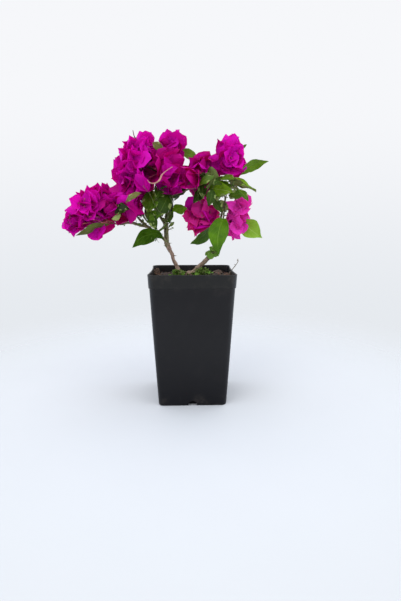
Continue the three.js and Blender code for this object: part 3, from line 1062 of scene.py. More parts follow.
def in_hollow(points, more=0.0):
    """True where some points come too close to the middle of a gap."""
    near = lengths(HOLLOW_PLACES - points.mean(0)) < 50 * MM
    if not near.any():
        return False
    gaps = lengths(points[:, None] - HOLLOW_PLACES[near])
    return bool((gaps < HOLLOW_CLEAR[near] + more * MM).any())


class Target:
    """The foot of a leaf or of a group of bracts, which a twig has to reach."""

    def __init__(self, place, heading, thin):
        self.place = np.asarray(place)
        self.heading = unit(heading)
        self.thin = thin


def outer_points(node, count, clear):
    """Points on a mass that don't face straight into another mass: its corners, with the farthest
    first, and then others in a seeded order."""
    points, normals = surface_points(node, count)
    vertices = NODES[node].data.vertices
    corners = np.array([v.co[:] for v in vertices])
    low, high = box_of(node)
    order = np.argsort(-lengths((corners * 2 - low - high) / (high - low)))[:60]
    points = np.vstack([corners[order], points])
    normals = np.vstack([[vertices[int(k)].normal[:] for k in order], normals])
    others = [tree for other, tree in SOLIDS.items() if other != node]

    def shut(tree, place):
        hit, normal, _, distance = tree.find_nearest(place, clear)
        return hit is not None and ((place - hit).dot(normal) < 0 or distance < clear * 0.35)

    ahead = [Vector(p + n * clear) for p, n in zip(points, normals)]
    keep = np.array([not any(shut(tree, place) for tree in others) for place in ahead])
    return points[keep], normals[keep]


class Room:
    """The space of a mass and of those that touch it, which a spray keeps within."""

    def __init__(self, node, others):
        low, high = box_of(node)
        self.centre = (low + high) / 2
        self.half = (high - low) / 2
        margin = 14 * MM
        self.trees = []
        for other in others:
            other_low, other_high = box_of(other)
            if (other_low < high + margin).all() and (other_high > low - margin).all():
                self.trees.append(SOLIDS[other])

    def excess(self, points, slack):
        """How badly some points stand out of the space, beyond a slack."""
        total = 0.0
        for point in points:
            p = Vector(point)
            out = 1.0
            for tree in self.trees:
                out = min(out, height_over(tree, p)[0])
                if out < slack:
                    break
            total += max(0.0, out - slack) ** 2
        return total / len(points) / MM ** 2


def best_fit(room, candidates, slack):
    """The candidate that stands out of the room least, and by how much. Each candidate is
    (probe points, bonus, result)."""
    best, best_score, best_excess = None, 1e9, 0.0
    for points, bonus, result in candidates:
        excess = room.excess(points, slack)
        if excess - bonus < best_score:
            best, best_score, best_excess = result, excess - bonus, excess
    return best, best_excess


def bract_spray(node, spots, targets, leaf_spots):
    """Groups of bracts all over one mass, facing out of it, with a leaf here and there. Where a
    place stays bare, a second round tries again."""
    rng = seeded("spray " + node)
    room = Room(node, BRACT_MASSES)
    points, normals = outer_points(node, 900, 6 * MM)
    narrow = room.half.min() < NARROW_HALF
    leafy = 0 if narrow else LEAF_SHARE
    own_share = 0.85 if SPRAY_TINT[node] in ("rosy", "dusky") else 0.62
    lean = np.array(SPRAY_LEAN.get(node, (0, -0.05, 0.32)))
    covered = [np.full((1, 3), 9.0)]

    def fit(p, n, tries):
        candidates = []
        for _ in range(tries):
            axis = unit(unit(n) + 0.45 * unit(p - room.centre) + lean + rng.normal(0, 0.5, 3))
            size = rng.uniform(0.74, 1.0) if narrow else rng.uniform(0.92, 1.16)
            kind = int(rng.integers(6)) if narrow else int(rng.integers(1, 11))
            turn = facing(axis, rng.uniform(0, 2 * math.pi))
            foot = p - axis * rng.uniform(22, 32) * MM * size
            reach = foot + (BRACT_PROBES[kind] * size) @ turn.T
            short = p - reach[lengths(reach - p).argmin()]
            whole = foot + short + (GROUP_POINTS[kind] * size) @ turn.T
            if not in_hollow(whole):
                candidates.append((reach + short, 1.5 * size, (foot + short, turn, size, kind)))
        if not candidates:
            return
        (foot, turn, size, kind), excess = best_fit(room, candidates, 0.4 * MM)
        if excess > GROUP_EXCESS:
            return
        tint = SPRAY_TINT[node] if rng.random() < own_share else TINTS[rng.integers(3)]
        spots[tint].add(foot, turn, size, kind)
        targets.append(Target(foot, turn[:, 2], False))
        covered.append(foot + (GROUP_POINTS[kind] * size) @ turn.T)

    for k in spread_out(points, NARROW_GAP if narrow else GROUP_GAP):
        if rng.random() < leafy:
            shingle(rng, room, points[k] - normals[k] * 3 * MM, normals[k], leaf_spots, targets,
                    (0.45, 0.75), 1 * MM)
        else:
            fit(points[k], normals[k], tries=30)
    for k in spread_out(points, 8 * MM):
        if lengths(np.vstack(covered) - points[k]).min() > BARE_GAP:
            fit(points[k], normals[k], tries=45)


def shingle(rng, room, p, n, leaf_spots, targets, sizes, slack, tint=None):
    """One leaf that lies slanting over the surface of a mass, with its upper face outwards."""
    candidates = []
    pale_side = rng.random() < 0.12
    for _ in range(14):
        tangent = rng.normal(0, 1, 3) - 0.5 * UP
        tangent = unit(tangent - n * (tangent @ n))
        heading = unit(tangent * 0.85 + n * rng.uniform(0.1, 0.8))
        upward = unit(n + 0.55 * UP + rng.normal(0, 0.2, 3))
        size = rng.uniform(*sizes)
        kind = int(rng.integers(LEAF_KINDS))
        turn = basis(heading, -upward if pale_side else upward)
        foot = p - heading * LEAF_LENGTH * MM * size * 0.6
        reach = np.vstack([foot + (LEAF_PROBES[kind] * size) @ turn.T, foot, foot, foot])
        candidates.append((reach, 1.5 * size, (foot, turn, size, kind)))
    (foot, turn, size, kind), excess = best_fit(room, candidates, slack)
    if excess > LEAF_EXCESS:
        return
    shade = tint or LEAF_TINTS[min(2, int(rng.random() * 2.5))]
    leaf_spots[shade].add(foot, turn, size, kind)
    targets.append(Target(foot, turn[:, 0], True))


def leaf_spray(node, targets, leaf_spots):
    """Leaves all over one mass."""
    rng = seeded("spray " + node)
    room = Room(node, LEAF_MASSES)
    points, normals = outer_points(node, 700, 4 * MM)
    for k in spread_out(points, (18.5 if node.endswith("right") else 17) * MM):
        tint = leaf_tint(rng, node)
        shingle(rng, room, points[k], normals[k], leaf_spots, targets, (0.5, 0.86), 2 * MM, tint)


def leaf_tint(rng, node):
    """The right-hand leaves are younger and lighter than those in the middle."""
    light = 0.42 if node == "leaves_outer_right" else 0.04
    draw = rng.random()
    return "light" if draw < light else "mid" if draw < light + 0.22 else "dark"


def tucked_in(p):
    """A place that would lie just outside the bracts, moved under them."""
    found = [height_over(SOLIDS[node], Vector(p)) for node in BRACT_MASSES]
    height, skin, outwards = min(found, key=lambda one: one[0])
    if -3 * MM < height < 5 * MM:
        return np.array(skin - outwards * 4 * MM)
    return p


def growing_cost(place, heading, spots, ahead):
    """How far it is to grow from some spots to a foot. Turning back makes it farther."""
    way = place - spots
    distance = lengths(way) + 1e-9
    square = dots(way, heading) / distance
    along = dots(way, ahead) / distance
    return distance * (1.5 - 0.45 * square - 0.25 * along)


class Growth:
    """Twigs that grow from the limbs. The nearest foot that is not yet reached is always next."""

    def __init__(self, limbs):
        self.points, self.ahead, self.parent, self.paths = [], [], [], []
        for limb in limbs:
            first = int(len(limb.line) * (0.8 if limb.node.startswith("stem_") else 0.45))
            headings = np.gradient(limb.line, axis=0)
            for k in range(first, len(limb.line), 4):
                self.points.append(limb.line[k])
                self.ahead.append(unit(headings[k]))
                self.parent.append(-1)

    def reach(self, targets):
        rng = seeded("growth")
        places = np.array([t.place for t in targets])
        headings = np.array([t.heading for t in targets])
        spots, ahead = np.array(self.points), np.array(self.ahead)
        costs = growing_cost(places[:, None], headings[:, None], spots[None], ahead[None])
        best, best_cost = costs.argmin(1), costs.min(1)
        waiting = np.ones(len(targets), bool)
        while waiting.any():
            k = int(np.where(waiting, best_cost, np.inf).argmin())
            waiting[k] = False
            fresh = self.connect(int(best[k]), targets[k], rng)
            for i in fresh:
                cost = growing_cost(places, headings, self.points[i], self.ahead[i])
                better = cost < best_cost
                best[better] = i
                best_cost[better] = cost[better]

    def connect(self, start, target, rng):
        p0, p3 = self.points[start], target.place
        way = p3 - p0
        length = np.linalg.norm(way)
        p1 = p0 + unit(self.ahead[start] + unit(way)) * min(length * 0.35, 9 * MM)
        p2 = p3 - target.heading * min(length * 0.3, 8 * MM)
        steps = max(2, int(math.ceil(length / TWIG_STEP)))
        fresh, last = [], start
        for t in np.arange(1, steps + 1) / steps:
            p = ((1 - t) ** 3 * p0 + 3 * (1 - t) ** 2 * t * p1 + 3 * (1 - t) * t * t * p2
                 + t ** 3 * p3)
            if t < 1:
                p = tucked_in(p + rng.normal(0, 0.25 * MM, 3))
            self.points.append(p)
            self.ahead.append(unit(p - self.points[last]))
            self.parent.append(last)
            last = len(self.points) - 1
            fresh.append(last)
        self.paths.append(([start, *fresh], target.thin))
        return fresh

    def twigs(self):
        """The paths with their radii: a twig is as thick as what it carries needs."""
        load = np.zeros(len(self.points))
        for path, thin in self.paths:
            load[path[-1]] += 0.5 if thin else 1.0
        for k in range(len(self.points) - 1, -1, -1):
            if self.parent[k] >= 0:
                load[self.parent[k]] += load[k]
        radius = np.minimum(THIN_TWIG * np.maximum(load, 0.3) ** 0.36, THICK_TWIG)
        result = []
        for path, thin in self.paths:
            thickness = [min(radius[i], radius[path[1]]) for i in path]
            result.append((np.array([self.points[i] for i in path]), thickness))
        return result


# -------- single leaves

PALE_SIDE_OUT = ("leaf_far_left",)
# Large leaves with only their outer half in sight: the way that each points, and its length and
# half width in millimetres.
HALF_HIDDEN = {"leaf_far_right": ((0.80, -0.2, -0.60), 50, 13.5)}
LARGE_LEAF_TINT = {
    "leaf_far_right": "bright", "leaf_top_right": "fresh", "leaf_top_middle": "fresh",
    "leaf_front": "full", "leaf_far_left": "greyish", "leaf_low_left": "deep",
    "leaf_under_right": "deep", "leaf_middle": "fresh",
}
LARGE_LEAF_COLOURS = {
    "bright": (rgb(140, 180, 58), rgb(116, 156, 34), rgb(172, 204, 104)),
    "fresh": (rgb(108, 148, 18), rgb(82, 122, 6), rgb(136, 170, 66)),
    "full": (rgb(84, 128, 4), rgb(60, 102, 2), rgb(116, 152, 50)),
    "deep": (rgb(66, 104, 2), rgb(46, 80, 0), rgb(98, 132, 40)),
    "greyish": (rgb(98, 114, 48), rgb(78, 88, 36), rgb(150, 96, 84)),
}


def read_blade(node, wood_points, stations=13):
    """The middle, half width and side of a single leaf, from its stalk to its tip."""
    points, _ = surface_points(node, 4000)
    axis = longest_way(points - points.mean(0))
    if node in HALF_HIDDEN:
        way, length, half = HALF_HIDDEN[node]
        axis = unit(way)
        tip = points[(points @ axis).argmax()]
        shares = np.linspace(0, 1, stations + 2)
        middles = tip - np.outer(1 - shares, axis) * length * MM
        side = unit(np.cross(axis, (0.0, -1.0, 0.3)))
        return middles, side, half * MM * np.sin(np.pi * shares[1:-1]) ** 0.7
    along = points @ axis
    ends = [points[along.argmin()], points[along.argmax()]]
    nearness = [lengths(wood_points - end).min() for end in ends]
    if nearness[0] > nearness[1]:
        axis = -axis
    middles, sides, halves = [], [], []
    for inside in slices(points, axis, stations):
        offset = inside - inside.mean(0)
        offset -= np.outer(offset @ axis, axis)
        side = longest_way(offset)
        spread = offset @ side
        middles.append(inside.mean(0) + side * (spread.max() + spread.min()) / 2)
        sides.append(side)
        halves.append((spread.max() - spread.min()) / 2)
    tip = middles[-1] + (middles[-1] - middles[-2]) * 0.5
    foot = middles[0] + (middles[0] - middles[1]) * 0.5
    return np.array([foot, *middles, tip]), sides[int(np.argmax(halves))], np.array(halves)


def single_leaf(node, wood_points):
    """A large leaf in place of its pad, and the stalk that bears it."""
    rng = seeded(node)
    middles, side, halves = read_blade(node, wood_points)
    half_width = halves.max() * 1.06
    heel = max(1, int(np.argmax(halves > 0.22 * half_width)))
    stalk = smooth_line(middles[:heel + 1], 2 * MM)
    line = smooth_line(middles[heel:], 1 * MM)
    spine = line[np.linspace(0, len(line) - 1, 15).round().astype(int)]
    ts = np.linspace(0, 1, len(spine))
    facing_way = UP if node in PALE_SIDE_OUT else np.array([0.0, -1.0, 0.35])
    profile = np.array([0.0, *halves, 0.0])
    profile = np.convolve(np.pad(profile, 1), [0.2, 0.6, 0.2], "same")[1:-1][heel:]
    steps = lengths(np.diff(middles[heel:], axis=0))
    stations = np.hstack([0, np.cumsum(steps)]) / steps.sum()
    profile[0] = profile[-1] = 0.0
    phase = rng.uniform(0, 2 * math.pi, 2)
    vs = np.linspace(-1, 1, 9)
    grid = []
    for k in range(1, len(spine) - 1):
        ahead = unit(spine[k + 1] - spine[k - 1])
        across = unit(side - ahead * (side @ ahead))
        normal = np.cross(ahead, across)
        if normal @ facing_way < 0:
            across, normal = -across, -normal
        t = ts[k]
        width = np.interp(t, stations, profile) * 1.14
        width *= math.sin(math.pi * t) ** (0.8 if t < 0.5 else 0.6)
        row = []
        for v in vs:
            wave = math.sin(4.5 * math.pi * t + phase[int(v > 0)]) * math.sin(math.pi * t)
            lift = 0.20 * abs(v) * math.sin(math.pi * t) + 0.07 * v * v * wave
            row.append(spine[k] + across * v * width + normal * (lift - 0.06) * half_width)
        grid.append(row)
    return shell(np.array(grid), spine[0], spine[-1], ts, 0.5 * MM), stalk


# -------- pot and soil

NOTCH = (6.5 * MM, 8 * MM, 10 * MM)  # half width, height and reach of a drain notch


def bow(side, along, z):
    """How far a side of the pot is bent outwards at a place along it, from -1 to 1."""
    share = min(max(z / POT_HEIGHT, 0.0), 1.0)
    rim = (-2.2, 0.3, -2.6, -0.5)[side] * share ** 5
    wall = (0.3, 0.4, 0.3, 0.4)[side] * math.sin(math.pi * share)
    return (rim + wall) * MM * math.cos(0.5 * math.pi * min(1.0, abs(along))) ** 1.2


def square_ring(half, corner, z):
    """A square with round corners at a height of the pot, whose sides are bowed a little."""
    ring = []
    arc, straight = 8, 10
    for quarter in range(4):
        turn = quarter * math.pi / 2
        c, s = math.cos(turn), math.sin(turn)
        local = []
        for k in range(straight):
            local.append((half, (half - corner) * (2 * k / straight - 1)))
        for k in range(arc + 1):
            a = k / arc * math.pi / 2
            local.append((half - corner + corner * math.cos(a), half - corner + corner * math.sin(a)))
        for x, y in local:
            x = x + bow(quarter, y / half, z)
            ring.append((x * c - y * s, x * s + y * c, z))
    return ring


def lofted(rings):
    """A closed skin over rings of equal count, with a fan over the first and the last."""
    sides = len(rings[0])
    points = [p for ring in rings for p in ring]
    faces = bands(len(rings), sides)
    for ring, offset, turned in ((rings[0], 0, True), (rings[-1], (len(rings) - 1) * sides, False)):
        centre = len(points)
        points.append(tuple(np.mean(ring, axis=0)))
        for k in range(sides):
            pair = (offset + k, offset + (k + 1) % sides)
            faces.append((centre, *(pair[::-1] if turned else pair)))
    return Shape(points, faces)


def wall_half(z):
    """Half the pot's outer width at a height, and its corner radius there."""
    share = z / POT_HEIGHT
    half = POT_BASE + (POT_TOP - POT_BASE) * share
    return half, (9 + share) * MM


def make_pot():
    """A thin moulded pot, with a lip band, a rolled rim and a drain notch in each side's foot."""
    foot = POT_HEIGHT - POT_LIP
    # Pairs of a height and how far the wall is set in there, in millimetres.
    profile = [(0.0, 2.9), (0.25, 2.3), (0.9, 1.6), (2.0, 1.2)]
    profile += [(z, 1.2) for z in np.linspace(8, foot / MM - 1.2, 14)]
    profile += [(foot / MM - 0.5, 1.15), (foot / MM - 0.1, 0.85), (foot / MM + 0.1, 0.35),
                (foot / MM + 0.5, 0.06), (foot / MM + 1.2, 0.0)]
    top = POT_HEIGHT / MM + 1.0
    profile += [(z, 0.0) for z in np.linspace(foot / MM + 4, top - 3, 4)]
    profile += [(top - 1.6, -0.12), (top - 0.7, -0.12), (top - 0.2, 0.15), (top, 0.6),
                (top - 0.15, 1.15), (top - 0.7, 1.5), (top - 2.0, 1.6)]
    inside = [(z, 1.6) for z in np.linspace(top - 5, foot / MM + 1, 3)]
    inside += [(foot / MM - 1.2, 2.6), (foot / MM - 8, 2.7), (120, 2.7), (60, 2.7),
               (4.5, 2.7), (2.6, 3.4), (2.2, 5.0)]
    rings = []
    for z, inset in profile + inside:
        half, corner = wall_half(z * MM)
        rings.append(square_ring(half - inset * MM, max(corner - inset * MM, 1.2 * MM), z * MM))
    pot = linked("nursery_pot", lofted(rings).mesh("nursery_pot"))
    cutter = linked("notch_cutter", Shape.joined([notch_cutter(k) for k in range(4)]).mesh("notch"))
    cut = pot.modifiers.new("notches", "BOOLEAN")
    cut.operation = "DIFFERENCE"
    cut.solver = "EXACT"
    cut.object = cutter
    plain_mesh(pot)
    bpy.data.objects.remove(cutter)
    pot.data.materials.clear()
    pot.data.materials.append(pot_plastic())
    pot.data.shade_smooth()
    pot.data.set_sharp_from_angle(angle=math.radians(40))
    return pot


def notch_cutter(side):
    half, height, reach = NOTCH
    outline = [(-half, -1 * MM), (half, -1 * MM)]
    for k in range(13):
        a = k / 12 * math.pi
        outline.append((half * math.cos(a), height - half + half * math.sin(a)))
    depths = (POT_BASE - reach, POT_BASE + 4 * MM)
    rings = [[(x, -y, z) for x, z in outline] for y in depths]
    return lofted(rings).moved(Matrix.Rotation(side * math.pi / 2, 4, "Z"))


def settled(x, y, z):
    """A place in the potting mix, moved with the bowed walls."""
    shift_x = bow(0 if x > 0 else 2, y / SOIL_HALF, z) * abs(x) / SOIL_HALF
    shift_y = bow(1 if y > 0 else 3, x / SOIL_HALF, z) * abs(y) / SOIL_HALF
    return x + shift_x * np.sign(x), y + shift_y * np.sign(y), z


def soil_height(x, y):
    """How high the potting mix lies above its solid's flat top."""
    lump = noise.fractal(Vector((x * 60, y * 60, 0.7)), 0.9, 2.1, 3)
    crumb = noise.noise(Vector((x * 420, y * 420, 4.0)))
    fine = noise.noise(Vector((x * 1100, y * 1100, 9.0)))
    mound = math.exp(-((x + 0.002) ** 2 + (y - 0.010) ** 2) / 0.030 ** 2)
    edge = max(abs(x), abs(y)) / SOIL_HALF
    return (1.1 * lump + 0.75 * crumb + 0.4 * fine + 1.6 * mound - 1.2 * max(0, edge - 0.8) * 5) * MM


def make_soil():
    """The potting mix, lumpy on top."""
    low, high = box_of("soil")
    count = 84
    corner = 8 * MM
    points, index = [], {}
    for i in range(count + 1):
        for j in range(count + 1):
            x = SOIL_HALF * (2 * i / count - 1)
            y = SOIL_HALF * (2 * j / count - 1)
            over = np.array([abs(x), abs(y)]) - (SOIL_HALF - corner)
            if (over > 0).all():
                pull = corner / max(corner, np.linalg.norm(over))
                x = math.copysign(SOIL_HALF - corner + over[0] * pull, x)
                y = math.copysign(SOIL_HALF - corner + over[1] * pull, y)
            index[i, j] = len(points)
            x, y, _ = settled(x, y, high[2])
            points.append((x, y, high[2] + soil_height(x, y)))
    faces = [(index[i, j], index[i + 1, j], index[i + 1, j + 1], index[i, j + 1])
             for i in range(count) for j in range(count)]
    border = [(i, 0) for i in range(count)] + [(count, j) for j in range(count)]
    border += [(i, count) for i in range(count, 0, -1)] + [(0, j) for j in range(count, 0, -1)]
    ring = [index[b] for b in border]
    foot_half = wall_half(low[2])[0] - 6.4 * MM
    for level in range(1, 9):
        share = level / 8
        z = high[2] * (1 - share) + low[2] * share
        shrink = (SOIL_HALF * (1 - share) + foot_half * share) / SOIL_HALF
        fresh = []
        for b in border:
            x, y, _ = points[index[b]]
            fresh.append(len(points))
            points.append(settled(x * shrink, y * shrink, z))
        for k in range(len(ring)):
            n = (k + 1) % len(ring)
            faces.append((ring[k], fresh[k], fresh[n], ring[n]))
        ring = fresh
    faces.append(tuple(ring[::-1]))
    soil = linked("potting_mix", Shape(points, faces).mesh("potting_mix"))
    soil.data.materials.append(soil_finish("potting mix", rgb(28, 24, 23), rgb(84, 72, 66), 0.8))
    soil.data.shade_smooth()
    return soil


def make_chips():
    """Bits of composted bark on the mix, with a few pale grains."""
    rng = seeded("chips")
    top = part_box("soil")[1][2]
    chips, grains = Spots(), Spots()
    for k in range(420):
        pale = k % 14 == 0
        x, y = rng.uniform(-1, 1, 2) * (SOIL_HALF - 4 * MM)
        place = (x, y, top + soil_height(x, y) + rng.uniform(-0.3, 0.9) * MM)
        tilt = Euler((rng.normal(0, 0.35), rng.normal(0, 0.35), rng.uniform(0, 6.28)))
        size = float(np.clip(rng.lognormal(-0.35, 0.45), 0.3, 1.9))
        turn = np.array(tilt.to_matrix())
        (grains if pale else chips).add(place, turn, size * (0.3 if pale else 1),
                                        int(rng.integers(6)))
    shapes = [chip_shape(rng) for _ in range(6)]
    bark = soil_finish("bark chips", rgb(42, 34, 30), rgb(116, 98, 86), 0.5)
    grit = soil_finish("pale grains", rgb(190, 184, 172), rgb(226, 222, 212), 0.3)
    made = [scattered("bark_chips", chips, shapes, bark),
            scattered("pale_grains", grains, shapes, grit)]
    for piece in made:
        piece.data.shade_flat()
    return made


# -------- the plant

def tuft_spots(node, leaf_spots, gap, smallest, largest):
    """Small young leaves that cover a low tuft, and the stalks that bear them."""
    rng = seeded("tuft " + node)
    points, normals = surface_points(node, 900)
    low, high = box_of(node)
    centre = (low + high) / 2
    on_soil = node != STEM_TUFT
    if on_soil:
        keep = normals[:, 2] > -0.3
        points, normals = points[keep], normals[keep]
    stalks = []
    for k in spread_out(points, gap):
        p = centre + (points[k] - centre) * rng.uniform(0.7, 1.12)
        n = unit(normals[k] + 0.5 * UP + rng.normal(0, 0.4, 3))
        heading = unit(n * 0.8 + unit((p - centre) * np.array([1, 1, 0.3])) * 0.9
                       + rng.normal(0, 0.5, 3))
        length = rng.uniform(smallest, largest) * MM
        foot = p - heading * length * (0.7 if on_soil else 0.45)
        if on_soil:
            foot[2] = max(foot[2], low[2])
            root = p * 0.7 + centre * 0.3
            root[2] = low[2] - 1.5 * MM
            upward = unit(UP + 0.8 * n + rng.normal(0, 0.4, 3))
        else:
            root = centre + (foot - centre) * 0.1
            upward = unit(0.3 * UP + 0.9 * n + np.array([0, -0.8, 0]) + rng.normal(0, 0.3, 3))
        leaf_spots.add(foot, basis(heading, upward), length / (LEAF_LENGTH * MM),
                       int(rng.integers(4)))
        stalks.append(bent_stalk(rng, root, foot, 0.5, (0.45, 0.38, 0.3)))
    return stalks


# Leaves that show among the bracts: by a mass, where the foot is as a share of its half size, the
# way that the leaf points and the way its upper face looks, its length in millimetres, and its tint.
STRAY_LEAVES = (
    ("bracts_top_right", (0.74, 0.04, 0.30), (0.72, 0.0, 0.7), (-0.6, -0.5, 0.5), 12, "mid"),
    ("bracts_top", (-1.27, -1.25, 0.0), (0.84, 0.0, -0.54), (0.1, -1.0, 0.1), 20, "olive"),
    ("bracts_right_middle", (1.05, -0.35, 0.50), (0.5, -0.3, 0.8), (0.2, -0.8, 0.6), 18, "dark"),
    ("bracts_inner_left", (0.0, -1.10, 0.32), (0.81, 0.0, 0.59), (-0.5, -0.52, 0.68), 26, "olive"),
    # The two shade leaves here are painted shade: near-black leaves that stand in a shadowed gap
    # between the bracts.
    ("bracts_inner_left", (-0.34, -0.89, 0.20), (-0.39, 0.0, -0.92), (0.8, -0.5, 0.1), 18, "shade"),
    ("bracts_inner_left", (0.05, -0.98, 0.02), (-0.97, 0.0, -0.25), (0.1, -0.9, 0.4), 17, "shade"),
    ("bracts_inner_left", (-0.81, -0.90, -0.73), (0.92, 0.0, 0.4), (0.0, 0.7, -0.7), 15, "olive"),
    ("leaves_centre", (-0.34, -0.78, -0.04), (0.35, 0.0, -0.93), (-0.4, -0.8, 0.3), 27, "dark"),
    ("leaves_centre", (0.12, -0.96, 0.44), (-0.72, 0.0, -0.69), (-0.3, -0.8, 0.5), 24, "mid"),
    ("bracts_low_middle", (0.32, -1.36, 1.28), (-0.74, 0.0, -0.67), (-0.3, -0.8, 0.5), 31, "dark"),
    ("bracts_low_middle", (0.68, -1.20, 0.74), (0.57, 0.0, -0.82), (0.2, -0.8, 0.6), 22, "dark"),
    ("leaves_inner_right", (0.35, -1.10, 0.55), (-0.9, 0.0, -0.44), (-0.1, -0.6, 0.8), 27, "mid"),
    ("leaves_outer_right", (0.28, -0.91, -0.01), (0.92, 0.0, -0.4), (0.3, -0.6, 0.8), 25, "light"),
    ("leaves_outer_right", (0.16, -1.09, -0.33), (0.68, 0.0, -0.73), (0.3, -0.6, 0.6), 22, "mid"),
)
# Bracts that stand out of the crown's outline: by a mass, where the tip is, how far it points to
# the right and up, its length in millimetres, whether it is round, and its tint.
SHOWY_BRACTS = (
    ("bracts_top_left", (0.0, -0.74, 0.96), (-0.2, 0.98), 27, True, "bright"),
    ("bracts_top", (-0.67, -0.90, 0.74), (-0.4, 0.92), 29, True, "bright"),
    ("bracts_top", (0.36, -1.00, 0.83), (0.08, 1.0), 29, True, "full"),
    ("bracts_right_middle", (-0.78, -0.50, 0.69), (-0.8, 0.6), 22, False, "full"),
    ("bracts_top_right", (0.10, -0.13, 1.01), (-0.27, 0.96), 31, False, "bright"),
    ("bracts_top_right", (-0.92, -0.13, 0.79), (-0.39, 0.92), 31, False, "full"),
    ("bracts_low_right", (0.80, -0.90, 1.06), (0.78, 0.63), 29, True, "rosy"),
    ("bracts_low_right", (-1.11, -0.95, 0.81), (-0.83, 0.56), 27, False, "rosy"),
    ("bracts_low_right", (-0.20, -1.0, -0.91), (0.08, -1.0), 28, True, "rosy"),
    ("bracts_low_right", (0.27, -0.80, -0.82), (0.31, -0.95), 28, True, "rosy"),
    ("bracts_low_left", (1.05, -0.75, 0.33), (0.99, 0.11), 33, True, "bright"),
    ("bracts_low_left", (0.62, -0.60, -0.62), (0.86, -0.50), 30, True, "bright"),
    ("bracts_low_left", (-0.05, -0.45, -0.86), (0.35, -0.93), 25, True, "full"),
    ("bracts_crown_left", (-0.13, -0.26, 0.89), (-0.15, 0.99), 28, True, "bright"),
    ("bracts_crown_left", (-0.44, -0.31, 0.80), (-0.73, 0.68), 29, False, "bright"),
    ("bracts_low_middle", (-0.77, -0.72, 0.91), (-0.5, 0.86), 28, True, "full"),
    ("bracts_low_middle", (-1.13, -0.64, 0.00), (-0.99, -0.15), 28, False, "dusky"),
    ("bracts_low_middle", (-0.39, -0.80, -0.99), (-0.29, -0.96), 30, False, "dusky"),
    ("bracts_low_middle", (-0.87, -0.72, -0.57), (-0.73, -0.68), 28, False, "dusky"),
    ("bracts_crown_left", (-0.91, -0.36, -0.08), (-0.98, 0.19), 28, False, "bright"),
    ("bracts_crown_left", (-0.75, -0.31, 0.31), (-0.91, 0.41), 26, False, "full"),
    ("bracts_far_left", (-0.13, -0.35, 0.87), (-0.11, 0.99), 29, False, "bright"),
    ("bracts_far_left", (0.59, -0.19, 0.97), (0.18, 0.98), 29, False, "full"),
    ("bracts_far_left", (-0.59, -0.24, 0.61), (-0.68, 0.73), 31, False, "bright"),
    ("bracts_tip_left", (-0.67, -0.22, 0.43), (-0.99, 0.11), 28, False, "bright"),
    ("bracts_tip_left", (-0.35, -0.44, -0.76), (-0.89, -0.46), 30, True, "bright"),
)
# Fans of broad bracts over the front of a mass: how many, how far out their tips are as a share of
# its half size, their tint, and the direction of the first in degrees from the right.
FANS = (
    ("bracts_crown_left", 6, 0.66, "bright", 20), ("bracts_crown_left", 3, 0.25, "full", 75),
    ("bracts_top_right", 4, 0.62, "bright", 35), ("bracts_low_right", 4, 0.62, "rosy", 60),
    ("bracts_top", 3, 0.5, "full", 240), ("bracts_crown_middle", 3, 0.55, "full", 250),
    ("bracts_far_left", 4, 0.72, "bright", 60), ("bracts_tip_left", 3, 0.6, "bright", 120),
)


def on_mass(node, share):
    """A place given as a share of a mass's half size."""
    low, high = box_of(node)
    return (low + high) / 2 + (high - low) / 2 * np.array(share)


def line_on(node, shares):
    """A smooth line through places that are given as shares of a mass's half size."""
    return smooth_line([on_mass(node, share) for share in shares], 1.5 * MM)


def stray_leaves(leaf_spots):
    """The few leaves that show among the bracts, and their stalks."""
    rng = seeded("stray leaves")
    stalks = []
    for node, share, heading, upward, length, tint in STRAY_LEAVES:
        foot = on_mass(node, share)
        heading = unit(heading)
        turn = basis(heading, unit(np.array(upward) + rng.normal(0, 0.1, 3)))
        leaf_spots[tint].add(foot, turn, length / LEAF_LENGTH, int(rng.integers(LEAF_KINDS)))
        inwards = unit(on_mass(node, (0, 0, 0)) - foot)
        line = np.array([foot + inwards * 12 * MM, foot + inwards * 4 * MM, foot])
        stalks.append((line, [0.5 * MM, 0.45 * MM, 0.4 * MM]))
    return stalks


def showy_bracts(petal_spots, targets):
    """The single bracts that give the crown its outline."""
    rng = seeded("showy bracts")

    def lay(tip, way, length, is_round, tint, sway=0.2):
        heading = unit((way[0], -0.5, way[1]))
        foot = tip - heading * length * MM
        turn = basis(heading, unit(np.array([0.0, -1.0, 0.25]) + rng.normal(0, sway, 3)))
        kind = 3 * BRACT_KINDS + int(rng.integers(2)) + (0 if is_round else 2)
        petal_spots[tint].add(foot, turn, length / BRACT_LENGTH, kind)
        targets.append(Target(foot, heading, True))

    for node, share, way, length, is_round, tint in SHOWY_BRACTS:
        lay(on_mass(node, share), way, length, is_round, tint)
    for node, count, out, tint, start in FANS:
        for k in range(count):
            angle = math.radians(start) + 2 * math.pi * (k + rng.uniform(-0.2, 0.2)) / count
            way = (math.cos(angle), math.sin(angle))
            before = on_mass(node, (way[0] * out, -2, way[1] * out))
            tip = SOLIDS[node].ray_cast(Vector(before), Vector((0, 1, 0)))[0]
            length, is_round = rng.uniform(26, 32), rng.random() < 0.35
            if tip is not None and not in_hollow(np.array([tip]), 6):
                reach = np.linalg.norm((np.array(tip) - on_mass(node, (0, 0, 0)))[[0, 2]]) / MM
                lay(np.array(tip) - (0, 2.5 * MM, 0), way, min(length, reach + 14), is_round, tint,
                    0.42)


# Whole groups of bracts that face the front: by a mass, where the foot is, the size, which of the
# shapes it takes, and its tint.
FACING_GROUPS = (
    ("bracts_top_right", (0.24, -0.45, -0.17), 0.66, 9, "bright"),
    ("bracts_far_left", (-0.22, -0.64, 0.06), 0.64, 9, "bright"),
)


